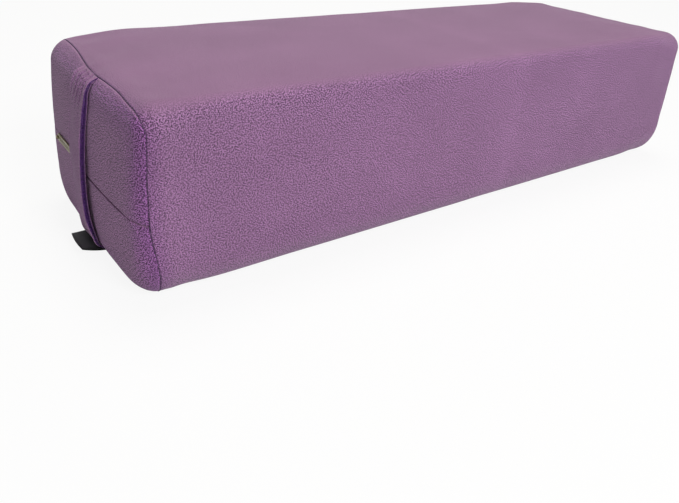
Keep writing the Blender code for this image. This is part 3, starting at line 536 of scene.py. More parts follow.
def cut_cloth(name, cloth):
    """The faces of one piece of cloth, its border rolled in and given a seam allowance."""
    normals = vertex_normals(form_mesh)
    faces = [face for face, label in zip(form.faces, form.cloth) if label == cloth]
    edges = {}
    for face in faces:
        for a, b in zip(face, face[1:] + face[:1]):
            edges.setdefault(frozenset((a, b)), []).append((a, b, face))
    border = [uses[0] for uses in edges.values() if len(uses) == 1]
    inward, run = {}, {}
    for a, b, face in border:
        middle = np.mean([flat_form[i] for i in face], axis=0)
        for i in (a, b):
            inward[i] = inward.get(i, np.zeros(3)) + middle - flat_form[i]
            run[i] = run.get(i, np.zeros(3)) + flat_form[b] - flat_form[a]
    line = {i for key, i in form.index.items() if key[1] == "line" and key[0] < 0}
    used = sorted({i for face in faces for i in face})
    number = {i: n for n, i in enumerate(used)}
    places = [flat_form[i].copy() for i in used]
    tucks = {}
    for i in inward:
        along = run[i] / max(np.linalg.norm(run[i]), 1e-9)
        aim = inward[i] - along * inward[i].dot(along) - normals[i] * inward[i].dot(normals[i])
        aim /= max(np.linalg.norm(aim), 1e-9)
        back = slit_half_width(flat_form[i][1]) if i in line else SEAM_BACK
        dip = HEM_DIPS[cloth] if i in line else SEAM_DIP
        places[number[i]] = flat_form[i] + aim * back - normals[i] * dip
        tucks[i] = len(places)
        places.append(flat_form[i] + aim * back - normals[i] * ALLOWANCE)
    quads = [[number[i] for i in face] for face in faces]
    quads += [[number[b], number[a], tucks[a], tucks[b]] for a, b, face in border]
    mesh = smooth_mesh(name, places, quads)
    panel = cloth > 0
    most, fade = PAINTED_SHADE[panel]
    # Painted shade, darkest at the seam and fading away from it.
    mark_points(mesh, "painted_shade", [
        most * (1 - ease(seam_tree.find(Vector(place))[2] / fade)) for place in places])
    # Painted highlight on the row of cloth beside each seam.
    beside = {i for key, i in form.index.items() if key[1] in ("turn", "long") and key[2] == 1}
    mark_points(mesh, "painted_highlight", [SEAM_HIGHLIGHT[panel] * (i in beside) for i in used] + [0.0] * len(tucks))
    piece = new_object(name, mesh)
    soften(piece, 2)
    mesh.materials.append(panel_microfibre if panel else microfibre)
    return piece


for name, cloth, node in (
        ("sleeve_cloth", 0, "cover_sleeve"), ("upper_near_panel_cloth", 1, "near_panel_upper"),
        ("lower_near_panel_cloth", 2, "near_panel_lower"), ("far_panel_cloth", 3, "far_panel")):
    piece = cut_cloth(name, cloth)
    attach(piece, "bolster")
    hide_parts(node)


# Lining bag of plain weave, set back from the near end to leave room for the zip, and the
# batting wrapped round the foam inside it. Both are hidden once the zip is closed.
WAVE_STEP, ZIP_ROOM, WELD = 0.314, 0.0082, 0.00008
LINING_INSET, BATTING_INSET, BATTING_THICKNESS = 0.0034, 0.0044, 0.0030


def object_place(tree):
    return add_node(tree, "ShaderNodeTexCoord").outputs["Object"]


def waves(tree, place, direction, scale, **values):
    """A wave texture. At a scale of 1 it repeats every WAVE_STEP metres."""
    return add_node(
        tree, "ShaderNodeTexWave", bands_direction=direction, Vector=place, Scale=scale,
        **values).outputs["Fac"]


def plain_weave(name, colour, pitch):
    """A weave with threads in all three directions, so that it shows on every face."""
    material, tree, shader = new_material(name)
    place = object_place(tree)
    first, second, third = [
        waves(tree, place, direction, WAVE_STEP / pitch, Distortion=0.4) for direction in "XYZ"]
    weave = maths(tree, "MAXIMUM", maths(tree, "MAXIMUM", first, second), third)
    tint = range_of(tree, weave, 0.0, 1.0, 0.78, 1.06)
    set_inputs(
        tree, shader, Base_Color=shift_colour(tree, colour, tint), Roughness=0.85,
        Sheen_Weight=0.1, Normal=bumped(tree, weave, 0.4, pitch / 4))
    return material


def inner_form(name, inset, ends=True, low=0.0, high=HEIGHT):
    """A closed or open-ended skin inside the cover, held between two levels."""
    skin = Form()
    seams = [QUARTER_TURN / 2] * AROUND
    skin.sleeve(seams, seams, inset, ZIP_ROOM)
    if ends:
        skin.end(-1, seams, inset, ZIP_ROOM)
        skin.end(1, seams, inset)
    mesh = skin.mesh(name)
    for vertex in mesh.vertices:
        vertex.co.z = min(max(vertex.co.z, low), high)
    shape = bmesh.new()
    shape.from_mesh(mesh)
    bmesh.ops.remove_doubles(shape, verts=shape.verts, dist=WELD)
    bmesh.ops.recalc_face_normals(shape, faces=shape.faces)
    shape.to_mesh(mesh)
    shape.free()
    mesh.shade_smooth()
    mesh.set_sharp_from_angle(angle=radians(50))
    return new_object(name, mesh)


def thicken(piece, thickness, offset=0):
    """Give a sheet its thickness, about its faces or, by an offset of -1, inside them."""
    layer = piece.modifiers.new("thickness", "SOLIDIFY")
    layer.thickness, layer.offset = thickness, offset


lining = inner_form("lining_bag", LINING_INSET)
lining.data.materials.append(plain_weave("lining_cotton", (0.60, 0.57, 0.52), 0.0006))
batting = inner_form("batting_layer", BATTING_INSET, ends=False)
thicken(batting, BATTING_THICKNESS, -1)
fleece, tree, shader = new_material("polyester_fleece")
fluff = noise(tree, object_place(tree), 160.0, 5.0, 0.7)
set_inputs(
    tree, shader, Base_Color=(0.82, 0.82, 0.80, 1), Roughness=0.95,
    Normal=bumped(tree, fluff, 0.8, 0.0015))
batting.data.materials.append(fleece)
for piece, node, slot in ((lining, "inner_liner", "lining"), (batting, "batting_wrap", "batting")):
    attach(piece, "bolster")
    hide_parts(node)


# The foam block: a firm slab between two softer ones, each cut from a sheet with open cells.
# They lie on each other, held by the batting wrapped round them.
FOAM_INSET, LOWER_CUT, UPPER_CUT, HALF_CUT = 0.0083, 0.0383, 0.1137, 0.00015


def open_cell_foam(name, colour):
    material, tree, shader = new_material(name)
    cells = add_node(
        tree, "ShaderNodeTexVoronoi", feature="F1", Vector=object_place(tree),
        Scale=700.0).outputs["Distance"]
    tint = range_of(tree, cells, 0.0, 0.7, 0.72, 1.05)
    set_inputs(
        tree, shader, Base_Color=shift_colour(tree, colour, tint), Roughness=0.9,
        Normal=bumped(tree, cells, 0.6, 0.0008))
    return material


soft_foam = open_cell_foam("soft_foam", (0.80, 0.74, 0.55))
firm_foam = open_cell_foam("firm_foam", (0.55, 0.59, 0.63))
for name, node, low, high, slot, material in (
        ("lower_foam_slab", "foam_layer_bottom", 0.0, LOWER_CUT - HALF_CUT, "soft_foam", soft_foam),
        ("middle_foam_slab", "foam_core", LOWER_CUT + HALF_CUT, UPPER_CUT - HALF_CUT, "firm_foam",
         firm_foam),
        ("upper_foam_slab", "foam_layer_top", UPPER_CUT + HALF_CUT, HEIGHT, "soft_foam", soft_foam)):
    piece = inner_form(name, FOAM_INSET, low=low, high=high)
    piece.data.materials.append(material)
    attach(piece, "bolster")
    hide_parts(node)


# Stitches of the seams: a polyester thread a shade darker than the cloth, seen as short humps
# down in the seam where the two cloths are pulled apart.
STITCH, THREAD, STITCH_SHARE = 0.0032, 0.00048, 0.30
SEAM_SINK, CLOSING_SINK, CLOSING_COLUMN = 0.0003, 0.0004, SIDE_STEPS + EDGE_STEPS + FLAT_STEPS - 3


def stitch_tree():
    """A tree that lays a bead of thread at each stitch of a path, longest along the path."""
    tree = bpy.data.node_groups.new("seam_stitches", "GeometryNodeTree")
    for label, kind in (
            ("Geometry", "Geometry"), ("Stitch Pitch", "Float"), ("Thread Radius", "Float"),
            ("Stitch Share", "Float"), ("Thread", "Material")):
        tree.interface.new_socket(label, in_out="INPUT", socket_type="NodeSocket" + kind)
    tree.interface.new_socket("Geometry", in_out="OUTPUT", socket_type="NodeSocketGeometry")
    given = add_node(tree, "NodeGroupInput").outputs
    pitch, radius = given["Stitch Pitch"], given["Thread Radius"]
    curve = add_node(tree, "GeometryNodeMeshToCurve", Mesh=given["Geometry"])
    spread = add_node(
        tree, "GeometryNodeResampleCurve", mode="LENGTH", Curve=curve.outputs["Curve"],
        Length=pitch)
    bead = add_node(tree, "GeometryNodeMeshUVSphere", Segments=8, Rings=6)
    half = maths(tree, "MULTIPLY", pitch, given["Stitch Share"])
    size = add_node(tree, "ShaderNodeCombineXYZ", X=half, Y=radius, Z=radius)
    tangent = add_node(tree, "GeometryNodeInputTangent")
    outward = add_node(
        tree, "GeometryNodeInputNamedAttribute", data_type="FLOAT_VECTOR", Name="outward")
    turn = add_node(
        tree, "FunctionNodeAlignRotationToVector", axis="X", Vector=tangent.outputs["Tangent"])
    lift = add_node(
        tree, "FunctionNodeAlignRotationToVector", axis="Z", pivot_axis="X",
        Rotation=turn.outputs["Rotation"], Vector=outward.outputs["Attribute"])
    beads = add_node(
        tree, "GeometryNodeInstanceOnPoints", Points=spread.outputs["Curve"],
        Instance=bead.outputs["Mesh"], Rotation=lift.outputs["Rotation"],
        Scale=size.outputs["Vector"])
    real = add_node(tree, "GeometryNodeRealizeInstances", Geometry=beads.outputs["Instances"])
    dyed = add_node(
        tree, "GeometryNodeSetMaterial", Geometry=real.outputs["Geometry"],
        Material=given["Thread"])
    add_node(tree, "NodeGroupOutput", Geometry=dyed.outputs["Geometry"])
    return tree


def run_nodes(name, mesh, tree, values):
    """Run a node tree on a mesh and return the result as a plain object."""
    holder = new_object(name + "_path", mesh)
    step = holder.modifiers.new("nodes", "NODES")
    step.node_group = tree
    for item in tree.interface.items_tree:
        if item.in_out == "INPUT" and item.name in values:
            step[item.identifier] = values[item.name]
    done = holder.evaluated_get(bpy.context.evaluated_depsgraph_get())
    plain = bpy.data.meshes.new_from_object(done)
    plain.name = name
    bpy.data.objects.remove(holder, do_unlink=True)
    return new_object(name, plain)


def sewing_thread(name, colour):
    material, tree, shader = new_material(name)
    twist = waves(tree, object_place(tree), "DIAGONAL", 700.0)
    tint = range_of(tree, twist, 0.0, 1.0, 0.75, 1.1)
    set_inputs(tree, shader, Base_Color=shift_colour(tree, colour, tint), Roughness=0.55)
    return material


stitches = stitch_tree()
thread = sewing_thread("seam_thread", (0.075, 0.030, 0.095))
form_normals = vertex_normals(form_mesh)


def stitch_line(name, corners, closed, sunk):
    """Stitches along a run of the form's corners, sunk below the cloth."""
    normals = form_normals[corners]
    places = flat_form[corners] - normals * sunk
    count = len(corners)
    edges = [(i, (i + 1) % count) for i in range(count if closed else count - 1)]
    mesh = bpy.data.meshes.new(name)
    mesh.from_pydata([tuple(p) for p in places], edges, [])
    outward = mesh.attributes.new("outward", "FLOAT_VECTOR", "POINT")
    outward.data.foreach_set("vector", normals.ravel())
    row = run_nodes(name, mesh, stitches, {
        "Stitch Pitch": STITCH, "Thread Radius": THREAD, "Stitch Share": STITCH_SHARE,
        "Thread": thread})
    row.data.shade_smooth()
    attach(row, "bolster")


near_ring = [form.index[(-1, "turn", 0, c)] for c in range(AROUND)]
far_ring = [form.index[(1, "turn", 0, c)] for c in range(AROUND)]
stitch_line("near_seam_stitches", near_ring, True, SEAM_SINK)
stitch_line("far_seam_stitches", far_ring, True, SEAM_SINK)
closing_line = [i for key, i in form.index.items() if key[1] == "long" and key[3] == CLOSING_COLUMN]
closing_line.sort(key=lambda i: flat_form[i][0])
stitch_line("sleeve_closing_stitches", closing_line, False, CLOSING_SINK)


# The zip: woven tapes sewn behind the two hems, and a moulded chain. The chain runs on a wide
# arc just behind the swollen end panel, so the slider turns about the arc's centre.
ZIP_RADIUS = (WIDTH / 2) ** 2 / (2 * END_CROWN)
ZIP_TILT = atan2(ZIP_FALL, WIDTH)
ZIP_CENTRE = Vector((ZIP_RADIUS - LENGTH / 2, 0, ZIP_HEIGHT))
ZIP_UP = Vector((0, -sin(ZIP_TILT), cos(ZIP_TILT)))
TAPE_EDGE, TAPE_LEVEL, TAPE_RISE, TAPE_OUTER = 0.0035, 0.0052, 0.0080, 0.0160
TAPE_CENTRE, TAPE_REST, TAPE_THICKNESS, TAPE_STEPS = 0.0050, 0.0032, 0.0005, 60


def zip_point(along, across, depth):
    """A point by its distance along the chain, above it, and below the skin of the panel."""
    angle = along / ZIP_RADIUS
    outward = Vector((-cos(angle), sin(angle) * cos(ZIP_TILT), sin(angle) * sin(ZIP_TILT)))
    return ZIP_CENTRE + outward * (ZIP_RADIUS - depth) + ZIP_UP * across


def skin_drop(along, across):
    point = zip_point(along, across, 0)
    return -point.x - TURN_START - END_TURN - end_swell(point.y, point.z)


def grid_faces(rows, columns, start=0, flip=False):
    """Faces of a sheet whose points lie row by row from a start."""
    corners = [start + k * columns + i for k in range(rows - 1) for i in range(columns - 1)]
    faces = [(a, a + 1, a + 1 + columns, a + columns) for a in corners]
    return [face[::-1] for face in faces] if flip else faces


def paint(material, *nodes):
    """Give solids that stay as they are their material."""
    for node in nodes:
        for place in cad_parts[node].material_slots:
            place.material = material


tape_weave = plain_weave("zip_tape_weave", (0.10, 0.05, 0.11), 0.0005)
bends = (TAPE_EDGE, TAPE_LEVEL, TAPE_RISE, TAPE_OUTER)
route = [mix(a, b, share) for a, b in zip(bends, bends[1:]) for share in (0, 1 / 2)] + [TAPE_OUTER]
for name, node, side in (
        ("upper_zip_tape", "zipper_tape_upper", 1), ("lower_zip_tape", "zipper_tape_lower", -1)):
    box_low, box_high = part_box(node)
    reach = (box_high.y - box_low.y) / 2
    places = []
    for k in range(TAPE_STEPS + 1):
        along = mix(-reach, reach, k / TAPE_STEPS)
        for w in route:
            rise = ease((w - TAPE_LEVEL) / (TAPE_RISE - TAPE_LEVEL))
            rest = TAPE_REST + skin_drop(along, side * w)
            places.append(zip_point(along, side * w, mix(TAPE_CENTRE, rest, rise)))
    faces = grid_faces(TAPE_STEPS + 1, len(route), flip=side > 0)
    tape = new_object(name, smooth_mesh(name, places, faces))
    thicken(tape, TAPE_THICKNESS)
    tape.data.materials.append(tape_weave)
    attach(tape, "bolster")
    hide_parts(node)

chain_plastic, tree, shader = new_material("moulded_chain")
grain = noise(tree, object_place(tree), 1800.0, 2.0)
set_inputs(
    tree, shader, Base_Color=(0.075, 0.035, 0.085, 1),
    Roughness=range_of(tree, grain, 0.3, 0.7, 0.34, 0.52))
paint(chain_plastic, "zipper_teeth_upper", "zipper_teeth_lower")


# Slider, pull tab and stops: die-cast and stamped metal in an aged brass finish, with a fine
# brushed grain, and darkened in patches. The slider and the pull tab have their edges tumbled round.
BRASS, DARK_BRASS = (0.20, 0.165, 0.085), (0.09, 0.075, 0.038)
TUMBLED_EDGE, MERGE_DISTANCE = 0.00012, 0.00001


def aged_brass(name):
    material, tree, shader = new_material(name)
    place = object_place(tree)
    brush = noise(tree, stretched(tree, place, Scale=(1.0, 0.08, 1.0)), 3200.0, 3.0)
    patina = noise(tree, place, 240.0, 4.0, 0.6)
    blend = add_node(
        tree, "ShaderNodeMix", data_type="RGBA", A=(*DARK_BRASS, 1), B=(*BRASS, 1),
        Factor=range_of(tree, patina, 0.3, 0.6, 0.35, 1.0))
    set_inputs(
        tree, shader, Base_Color=blend.outputs["Result"], Metallic=0.75,
        Roughness=range_of(tree, brush, 0.3, 0.7, 0.34, 0.5),
        Normal=bumped(tree, brush, 0.15, 0.0001))
    return material


brass = aged_brass("aged_brass")


def tumbled(node, name, body):
    """A copy of a metal CAD piece with its edges rounded."""
    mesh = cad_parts[node].data.copy()
    shape = bmesh.new()
    shape.from_mesh(mesh)
    bmesh.ops.remove_doubles(shape, verts=shape.verts, dist=MERGE_DISTANCE)
    bmesh.ops.dissolve_limit(shape, angle_limit=radians(2), verts=shape.verts, edges=shape.edges)
    shape.to_mesh(mesh)
    shape.free()
    mesh.materials.clear()
    mesh.materials.append(brass)
    mesh.shade_smooth()
    piece = new_object(name, mesh)
    edge = piece.modifiers.new("tumbled edges", "BEVEL")
    edge.width, edge.segments, edge.limit_method = TUMBLED_EDGE, 2, "ANGLE"
    edge.angle_limit, edge.harden_normals = radians(30), True
    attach(piece, body)
    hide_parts(node)


tumbled("zipper_slider", "zip_slider", "slider")
tumbled("zipper_pull_tab", "zip_pull", "pull_tab")
paint(brass, "zipper_top_stop_upper", "zipper_top_stop_lower", "zipper_bottom_stop")


# Carrying strap: a strip of the cover's cloth folded over webbing, a thin fold at its far edge
# and two rolled layers with a deep groove between them at its near edge. It is sewn into the
# top and bottom seams, gathered into small pleats at the top, and lies slack over the end.
STRAP_WIDTH, STRAP_END_WIDTH = 0.0345, 0.033
STRAP_MIDDLES, STRAP_ROWS, TOP_POINTS = (0.0008, -0.0020), 110, 44
NEAR_THICKNESS, FAR_THICKNESS, STRAP_BOW = 0.0037, 0.0022, 0.0004
NEAR_SEWN, FAR_SEWN, SEWN_SINK, SEWN_LENGTH = 0.0016, 0.0012, -0.0008, 0.007
FRONT_ROLL, BACK_ROLL, BACK_ROLL_OUT = 0.00062, 0.00040, 0.0004
GROOVE_MOUTH, GROOVE_FLOOR, GROOVE_STEP = 0.0024, 0.0026, 0.0001
GROOVE_REACH, GROOVE_LOW, GROOVE_HIGH = 0.003, 0.0006, 0.0003
# Ridges along the strap's edges for its painted highlight and for its raised rim.
HIGHLIGHT_EDGES, RIM_EDGES = (0.96, 0.0015, 0.03, 0.0010), (0.955, 0.0012, 0.045, 0.0012)
NEAR_LIFTS, FAR_LIFT = (0.0009, 0.0030), 0.0005
FOOT_TUCK, TUCK_LENGTH, FOOT_LENGTH, HEAD_LENGTH = 0.0030, 0.016, 0.034, 0.024
WIDENING_LENGTH, LIFT_LEAD, LIFT_LENGTH = 0.02, 0.002, 0.042
PLEAT_START, PLEAT_DEPTH, PLEAT_LENGTH, PLEAT_PITCH = 0.003, 0.0018, 0.036, 0.0074
RIM, LINES_FROM, LINES_TO, LINES = 0.0006, -0.0215, 0.0185, 17
END_TOP = HEIGHT - TOP_CROWN - TOP_EDGE_DROP


def seam_reach(y, upper):
    """How far round the end turn the near seam lies at a place across the top or the base."""
    columns = [HALF_STEPS * upper + SIDE_STEPS + EDGE_STEPS + k for k in range(FLAT_STEPS + 1)]
    reaches = [NEAR_SEAM[c] for c in columns]
    places = [skin_point(c, r).y for c, r in zip(columns, reaches)]
    order = 1 if places[0] < places[-1] else -1
    return float(np.interp(y, places[::order], reaches[::order]))


def end_line(y, count):
    """Points down the near end at y, from the top seam to the bottom one, with the outward
    direction at each, and the length of the line."""
    def turn_point(reach, low):
        rise = END_TURN * (1 - cos(reach / END_TURN))
        z = rise if low else END_TOP - rise
        return (-TURN_START - (END_TURN + end_swell(y, z)) * sin(reach / END_TURN), z)

    top, low = seam_reach(y, True), seam_reach(y, False)
    points = [turn_point(mix(top, QUARTER_TURN, k / 16), False) for k in range(16)]
    for k in range(49):
        z = mix(END_TOP - END_TURN, END_TURN, k / 48)
        points.append((-TURN_START - END_TURN - end_swell(y, z), z))
    points += [turn_point(mix(QUARTER_TURN, low, k / 10), True) for k in range(1, 11)]
    points = np.array(points)
    runs = np.concatenate([[0], np.cumsum(np.linalg.norm(np.diff(points, axis=0), axis=1))])
    even = np.linspace(0, runs[-1], count)
    line = np.array([np.interp(even, runs, points[:, i]) for i in (0, 1)]).T
    run = np.gradient(line, axis=0)
    run /= np.linalg.norm(run, axis=1)[:, None]
    return line, np.stack([run[:, 1], -run[:, 0]], axis=1), runs[-1]


def roll(radius, steps):
    """A rolled edge from its low side round to its high one, as steps inward and up."""
    angles = [-pi / 2 + pi * k / steps for k in range(steps + 1)]
    return [(radius - radius * cos(angle), radius * sin(angle)) for angle in angles]


def strap_section(thick, thin, width):
    """The strap's section round from its near edge, as (place across from 0 to 1, out)."""
    mouth = thick - 2 * FRONT_ROLL
    points = [
        (inward / width, thick - FRONT_ROLL + up) for inward, up in roll(FRONT_ROLL, 6)[::-1]]
    points += [
        (GROOVE_MOUTH / width, mouth - GROOVE_STEP),
        (GROOVE_FLOOR / width, (mouth + 2 * BACK_ROLL) / 2),
        (GROOVE_MOUTH / width, 2 * BACK_ROLL + GROOVE_STEP)]
    points += [
        ((inward - BACK_ROLL_OUT) / width, BACK_ROLL + up) for inward, up in roll(BACK_ROLL, 4)[::-1]]
    points += [(u, 0.0) for u in (0.2, 0.4, 0.6, 0.8, 0.92)]
    points += [(1 - inward / width, thin / 2 + up) for inward, up in roll(thin / 2, 6)]
    for k in range(TOP_POINTS):
        u = mix(0.93, 0.045, k / (TOP_POINTS - 1))
        points.append((u, mix(thick, thin, u) + STRAP_BOW * 4 * u * (1 - u)))
    return points


def edge_ridges(u, width, far, far_spread, near, near_spread):
    """A ridge along each edge of the strap, the near one three fifths as high."""
    far_ridge = exp(-((u - far) * width / far_spread) ** 2)
    return far_ridge + 0.6 * exp(-((u - near) * width / near_spread) ** 2)


full_section = strap_section(NEAR_THICKNESS, FAR_THICKNESS, STRAP_WIDTH)
strap_grid, painted_shade_marks, highlight_marks = (
    [[0.0] * len(full_section) for _ in range(STRAP_ROWS)] for _ in range(3))
line_places = np.linspace(LINES_FROM, LINES_TO, LINES)
end_lines = [end_line(y, STRAP_ROWS) for y in line_places]
for i, (across, _) in enumerate(full_section):
    middle = STRAP_MIDDLES[1] + (across - 0.5) * STRAP_WIDTH
    total = float(np.interp(middle, line_places, [line[2] for line in end_lines]))
    for k in range(STRAP_ROWS):
        at = total * k / (STRAP_ROWS - 1)
        left = total - at
        share = at / total

        # It is sewn flat at both ends, fills out between them, and is tucked in at its foot.
        free = ease(at / SEWN_LENGTH) * ease(left / SEWN_LENGTH)
        tuck = FOOT_TUCK * (1 - ease(left / TUCK_LENGTH))
        width = mix(STRAP_END_WIDTH, STRAP_WIDTH, ease(at / WIDENING_LENGTH)) - tuck
        filled = min(left / FOOT_LENGTH, 1.0, at / HEAD_LENGTH)
        thick, thin = mix(NEAR_SEWN, NEAR_THICKNESS, filled), mix(FAR_SEWN, FAR_THICKNESS, free)
        u, out = strap_section(thick, thin, width)[i]

        # It lies a little off the panel, its near edge higher than its far one along the middle.
        near_lift = mix(*NEAR_LIFTS, ease(share * 1.2)) * ease((left + LIFT_LEAD) / LIFT_LENGTH)
        lift = mix(SEWN_SINK, mix(near_lift, FAR_LIFT, u), free)

        # Pleats run down its face from the head, and leave out its far edge.
        top_face = ease((out / mix(thick, thin, u) - 0.75) / 0.25)
        top_face *= ease(u / 0.05) * ease((1 - u) / 0.06)
        fade = (1 - ease(at / PLEAT_LENGTH)) * ease(at / PLEAT_START) * (1 - ease((u - 0.7) / 0.3))
        wander = 0.0012 * sin(210 * at) + 0.0006 * sin(420 * at + 1.3)
        crease = (0.5 + 0.5 * cos(2 * pi * (u * width + wander) / PLEAT_PITCH)) ** 1.5
        slack = 0.00022 * sin(23 * share + 5 * u) + 0.00016 * sin(41 * share - 9 * u + 1)

        # The groove gets a deep indigo painted shade and the pleats' creases a lighter painted shade;
        # a rim along each edge stands up and gets a painted highlight.
        in_groove = u * width < GROOVE_REACH and GROOVE_LOW < out < thick - GROOVE_HIGH
        on_top = out > thin * 0.6
        painted_shade_marks[k][i] = 1.0 if in_groove else top_face * fade * crease * 0.3
        # Painted highlight along the top of each edge.
        highlight_marks[k][i] = on_top * edge_ridges(u, width, *HIGHLIGHT_EDGES)
        rim = RIM * edge_ridges(u, width, *RIM_EDGES)
        out += top_face * (slack - crease * PLEAT_DEPTH * fade) + rim * free * on_top

        # Its place on the end is read between the lines on either side of it.
        y = mix(*STRAP_MIDDLES, ease(share * 6)) + tuck / 2 + (u - 0.5) * width
        j, part = divmod((y - line_places[0]) / (line_places[1] - line_places[0]), 1)
        j = min(max(int(j), 0), LINES - 2)
        point = mix(end_lines[j][0][k], end_lines[j + 1][0][k], part)
        outward = mix(end_lines[j][1][k], end_lines[j + 1][1][k], part)
        x, z = point + outward * (lift + out)
        strap_grid[k][i] = (x, y, z)
ring = len(full_section)
strap_faces = []
for a in range(0, ring * (STRAP_ROWS - 1), ring):
    for i in range(ring):
        j = (i + 1) % ring
        strap_faces.append((a + i, a + j, a + j + ring, a + i + ring))
strap_mesh = bpy.data.meshes.new("carrying_strap")
strap_mesh.from_pydata([p for row in strap_grid for p in row], [], strap_faces)
shape = bmesh.new()
shape.from_mesh(strap_mesh)
bmesh.ops.holes_fill(shape, edges=[edge for edge in shape.edges if edge.is_boundary], sides=0)
bmesh.ops.recalc_face_normals(shape, faces=shape.faces)
shape.to_mesh(strap_mesh)
shape.free()
strap_mesh.shade_smooth()
for name, marks in (("painted_shade", painted_shade_marks), ("painted_highlight", highlight_marks)):
    mark_points(strap_mesh, name, [mark for row in marks for mark in row])
strap = new_object("carrying_strap", strap_mesh)
# The shade tint paints the groove's shade deep indigo.
strap_mesh.materials.append(brushed_microfibre(
    "strap_microfibre", STRAP_MAUVE, tuft=0.44, top_tuft=0.08, shade_tint=(0.26, 0.13, 0.48)))
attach(strap, "bolster")
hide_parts("handle_strap", "handle_webbing")


# Tag: a strip of black ribbon, woven with a plain field inside a dense edge, folded once and
# caught in the bottom seam under the strap. It stands out level, a little raised at its fold.
TAG_WIDTH, TAG_MIDDLE, TAG_LAYER = 0.0268, -0.0014, 0.00042
TAG_FOLD_PLACE, TAG_BULGE, TAG_SLANT, TAG_BOW = (-0.3369, 0.0098), 0.0040, 0.0022, 0.0010
TAG_SINK, TAG_SAG, TAG_TWIST, TAG_STEPS, TAG_ACROSS = 0.0006, 0.0004, 0.0003, 18, 16
TAG_GAP, ROOT_GAP, LEAST_GAP = 0.0003, 0.0002, 0.00004
EDGE_FROM, EDGE_TO, FOLD_EDGE = 0.0018, 0.0010, (-0.3362, -0.3354)
tag_places = []
for layer in (1, -1):
    for k in range(TAG_STEPS + 1):
        share = k / TAG_STEPS
        for i in range(TAG_ACROSS + 1):
            u = 2 * i / TAG_ACROSS - 1
            y = TAG_MIDDLE + u * TAG_WIDTH / 2 + TAG_SLANT * min(u, 0) * (1 - share)
            reach = seam_reach(y, False)
            rise = END_TURN * (1 - cos(reach / END_TURN))
            root = -TURN_START - (END_TURN + end_swell(y, rise)) * sin(reach / END_TURN)
            bow = TAG_BOW * (1 - u * u) * share
            gap = TAG_GAP * sin(pi * min(share, 0.999)) + ROOT_GAP * (1 - share) + LEAST_GAP
            x = mix(root, TAG_FOLD_PLACE[0] - bow, share)
            z = mix(rise - TAG_SINK, TAG_FOLD_PLACE[1] + TAG_TWIST * u, share)
            z -= TAG_SAG * sin(pi * share)
            z += TAG_BULGE * (1 - share) * ease(share / 0.3) * ease((u + 0.6) / 1.6)
            tag_places.append((x, y, z + layer * (gap + TAG_LAYER / 2)))
row = TAG_ACROSS + 1
sheet = row * (TAG_STEPS + 1)
tag_faces = grid_faces(TAG_STEPS + 1, row, flip=True) + grid_faces(TAG_STEPS + 1, row, sheet)
for a in range(sheet - row, sheet - 1):
    tag_faces.append((a + 1, a + 1 + sheet, a + sheet, a))
tag = new_object("folded_tag", smooth_mesh("folded_tag", tag_places, tag_faces))
thicken(tag, TAG_LAYER)
soften(tag, 1)
satin, tree, shader = new_material("black_satin_ribbon")
place = object_place(tree)
warp, weft = waves(tree, place, "Y", 700.0), waves(tree, place, "X", 420.0)
ribs = maths(tree, "ADD", maths(tree, "MULTIPLY", warp, 0.6), maths(tree, "MULTIPLY", weft, 0.4))
spot = split(tree, place)
from_middle = maths(tree, "ABSOLUTE", maths(tree, "SUBTRACT", spot["Y"], TAG_MIDDLE))
edge = maths(
    tree, "MAXIMUM",
    range_of(tree, from_middle, TAG_WIDTH / 2 - EDGE_FROM, TAG_WIDTH / 2 - EDGE_TO, 0.0, 1.0),
    range_of(tree, spot["X"], *FOLD_EDGE, 1.0, 0.0))
tint = graded(tree, range_of(tree, ribs, 0, 1, 0.6, 1.4), (edge, 0.0, 1.0, 1.7, 0.55))
set_inputs(
    tree, shader, Base_Color=shift_colour(tree, (0.018, 0.019, 0.020), tint), Roughness=0.55,
    Normal=bumped(tree, ribs, 0.35, 0.0002))
tag.data.materials.append(satin)
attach(tag, "bolster")
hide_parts("woven_tag")


# The studio: a pale floor that keeps the bolster's shadow, a white surround, and soft lamps.
# The camera stands where the photograph's did, a little left of the near corner and above it.
FLOOR_REACH, FLOOR_LEVEL = 6, -0.0004


def looked_at(tree):
    """1 for a ray that sees the place straight, in a mirror or through glass, and else 0."""
    ray = add_node(tree, "ShaderNodeLightPath").outputs
    seen = maths(tree, "MAXIMUM", ray["Is Camera Ray"], ray["Is Glossy Ray"])
    return maths(tree, "MAXIMUM", seen, ray["Is Transmission Ray"])


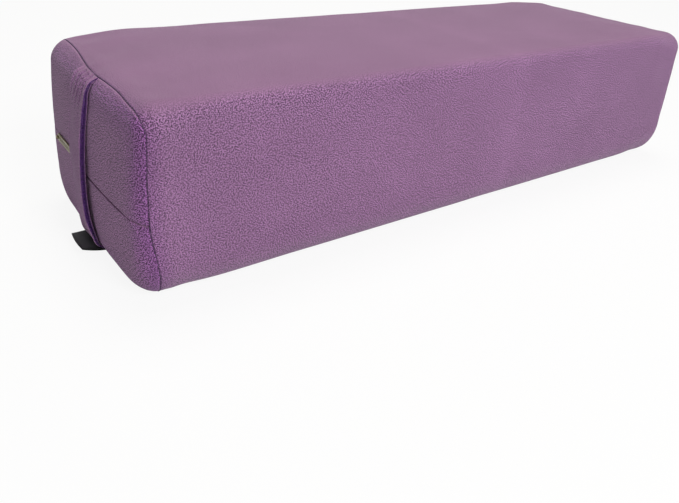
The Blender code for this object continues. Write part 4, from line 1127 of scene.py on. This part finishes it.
corners = [(x * FLOOR_REACH, y * FLOOR_REACH, 0) for x, y in ((-1, -1), (1, -1), (1, 1), (-1, 1))]
floor_mesh = bpy.data.meshes.new("studio_floor")
floor_mesh.from_pydata(corners, [], [(0, 1, 2, 3)])
floor = new_object("studio_floor", floor_mesh)
floor.location.z = FLOOR_LEVEL
paper, tree, shader = new_material("white_paper")
set_inputs(tree, shader, Base_Color=(0.86, 0.86, 0.86, 1), Roughness=0.9)
glow = add_node(tree, "ShaderNodeEmission", Color=(1, 1, 1, 1), Strength=1.0)
lit = add_node(tree, "ShaderNodeMixShader", Fac=maths(tree, "MULTIPLY", looked_at(tree), 0.9))
feed(tree, lit.inputs[1], shader.outputs["BSDF"])
feed(tree, lit.inputs[2], glow.outputs["Emission"])
set_inputs(tree, tree.nodes["Material Output"], Surface=lit.outputs["Shader"])
floor_mesh.materials.append(paper)

surround = bpy.data.worlds.new("studio_surround")
bpy.context.scene.world = surround
surround.use_nodes = True
tree = surround.node_tree
set_inputs(
    tree, tree.nodes["Background"], Color=(1, 1, 1, 1),
    Strength=range_of(tree, looked_at(tree), 0, 1, 0.19, 1.0))

for name, place, power, size, aim, tint in (
        ("key_lamp", (-0.2, -1.6, 1.15), 21.5, 0.55, (0.05, 0, 0.05), (1, 1, 1)),
        ("top_lamp", (0.25, 0.4, 3.0), 43.5, 1.3, (0, 0, 0.1), (1, 0.98, 0.91))):
    lamp = bpy.data.lights.new(name, "AREA")
    lamp.energy, lamp.size, lamp.color = power, size, tint
    stand = new_object(name, lamp)
    stand.location = place
    stand.rotation_euler = (Vector(aim) - Vector(place)).to_track_quat("-Z", "Y").to_euler()

# The camera as it was fitted to the photograph: the picture's size, its focal length and the
# middle of the lens in pixels, the turn of the view in radians and its offset in metres.
IMAGE_WIDTH, IMAGE_HEIGHT, FOCAL, MIDDLE_COLUMN, MIDDLE_ROW = 679, 503, 672.34, 322.83, 149.15
turn = Vector((1.9112, -0.5605, 0.4735))
view = Matrix.Rotation(turn.length, 3, turn.normalized())
offset = Vector((0.081326, 0.023825, 0.715034))
camera = bpy.data.cameras.new("camera")
camera.sensor_width = 36
camera.lens = FOCAL / IMAGE_WIDTH * camera.sensor_width
camera.shift_x = (IMAGE_WIDTH / 2 - MIDDLE_COLUMN) / IMAGE_WIDTH
camera.shift_y = (MIDDLE_ROW - IMAGE_HEIGHT / 2) / IMAGE_WIDTH
camera.clip_start = 0.01
stand = new_object("camera", camera)
place = -(view.transposed() @ offset)
stand.matrix_world = Matrix((
    (view[0][0], -view[1][0], -view[2][0], place.x),
    (view[0][1], -view[1][1], -view[2][1], place.y),
    (view[0][2], -view[1][2], -view[2][2], place.z), (0, 0, 0, 1)))
bpy.context.scene.camera = stand
bpy.context.scene.view_settings.view_transform = "Standard"
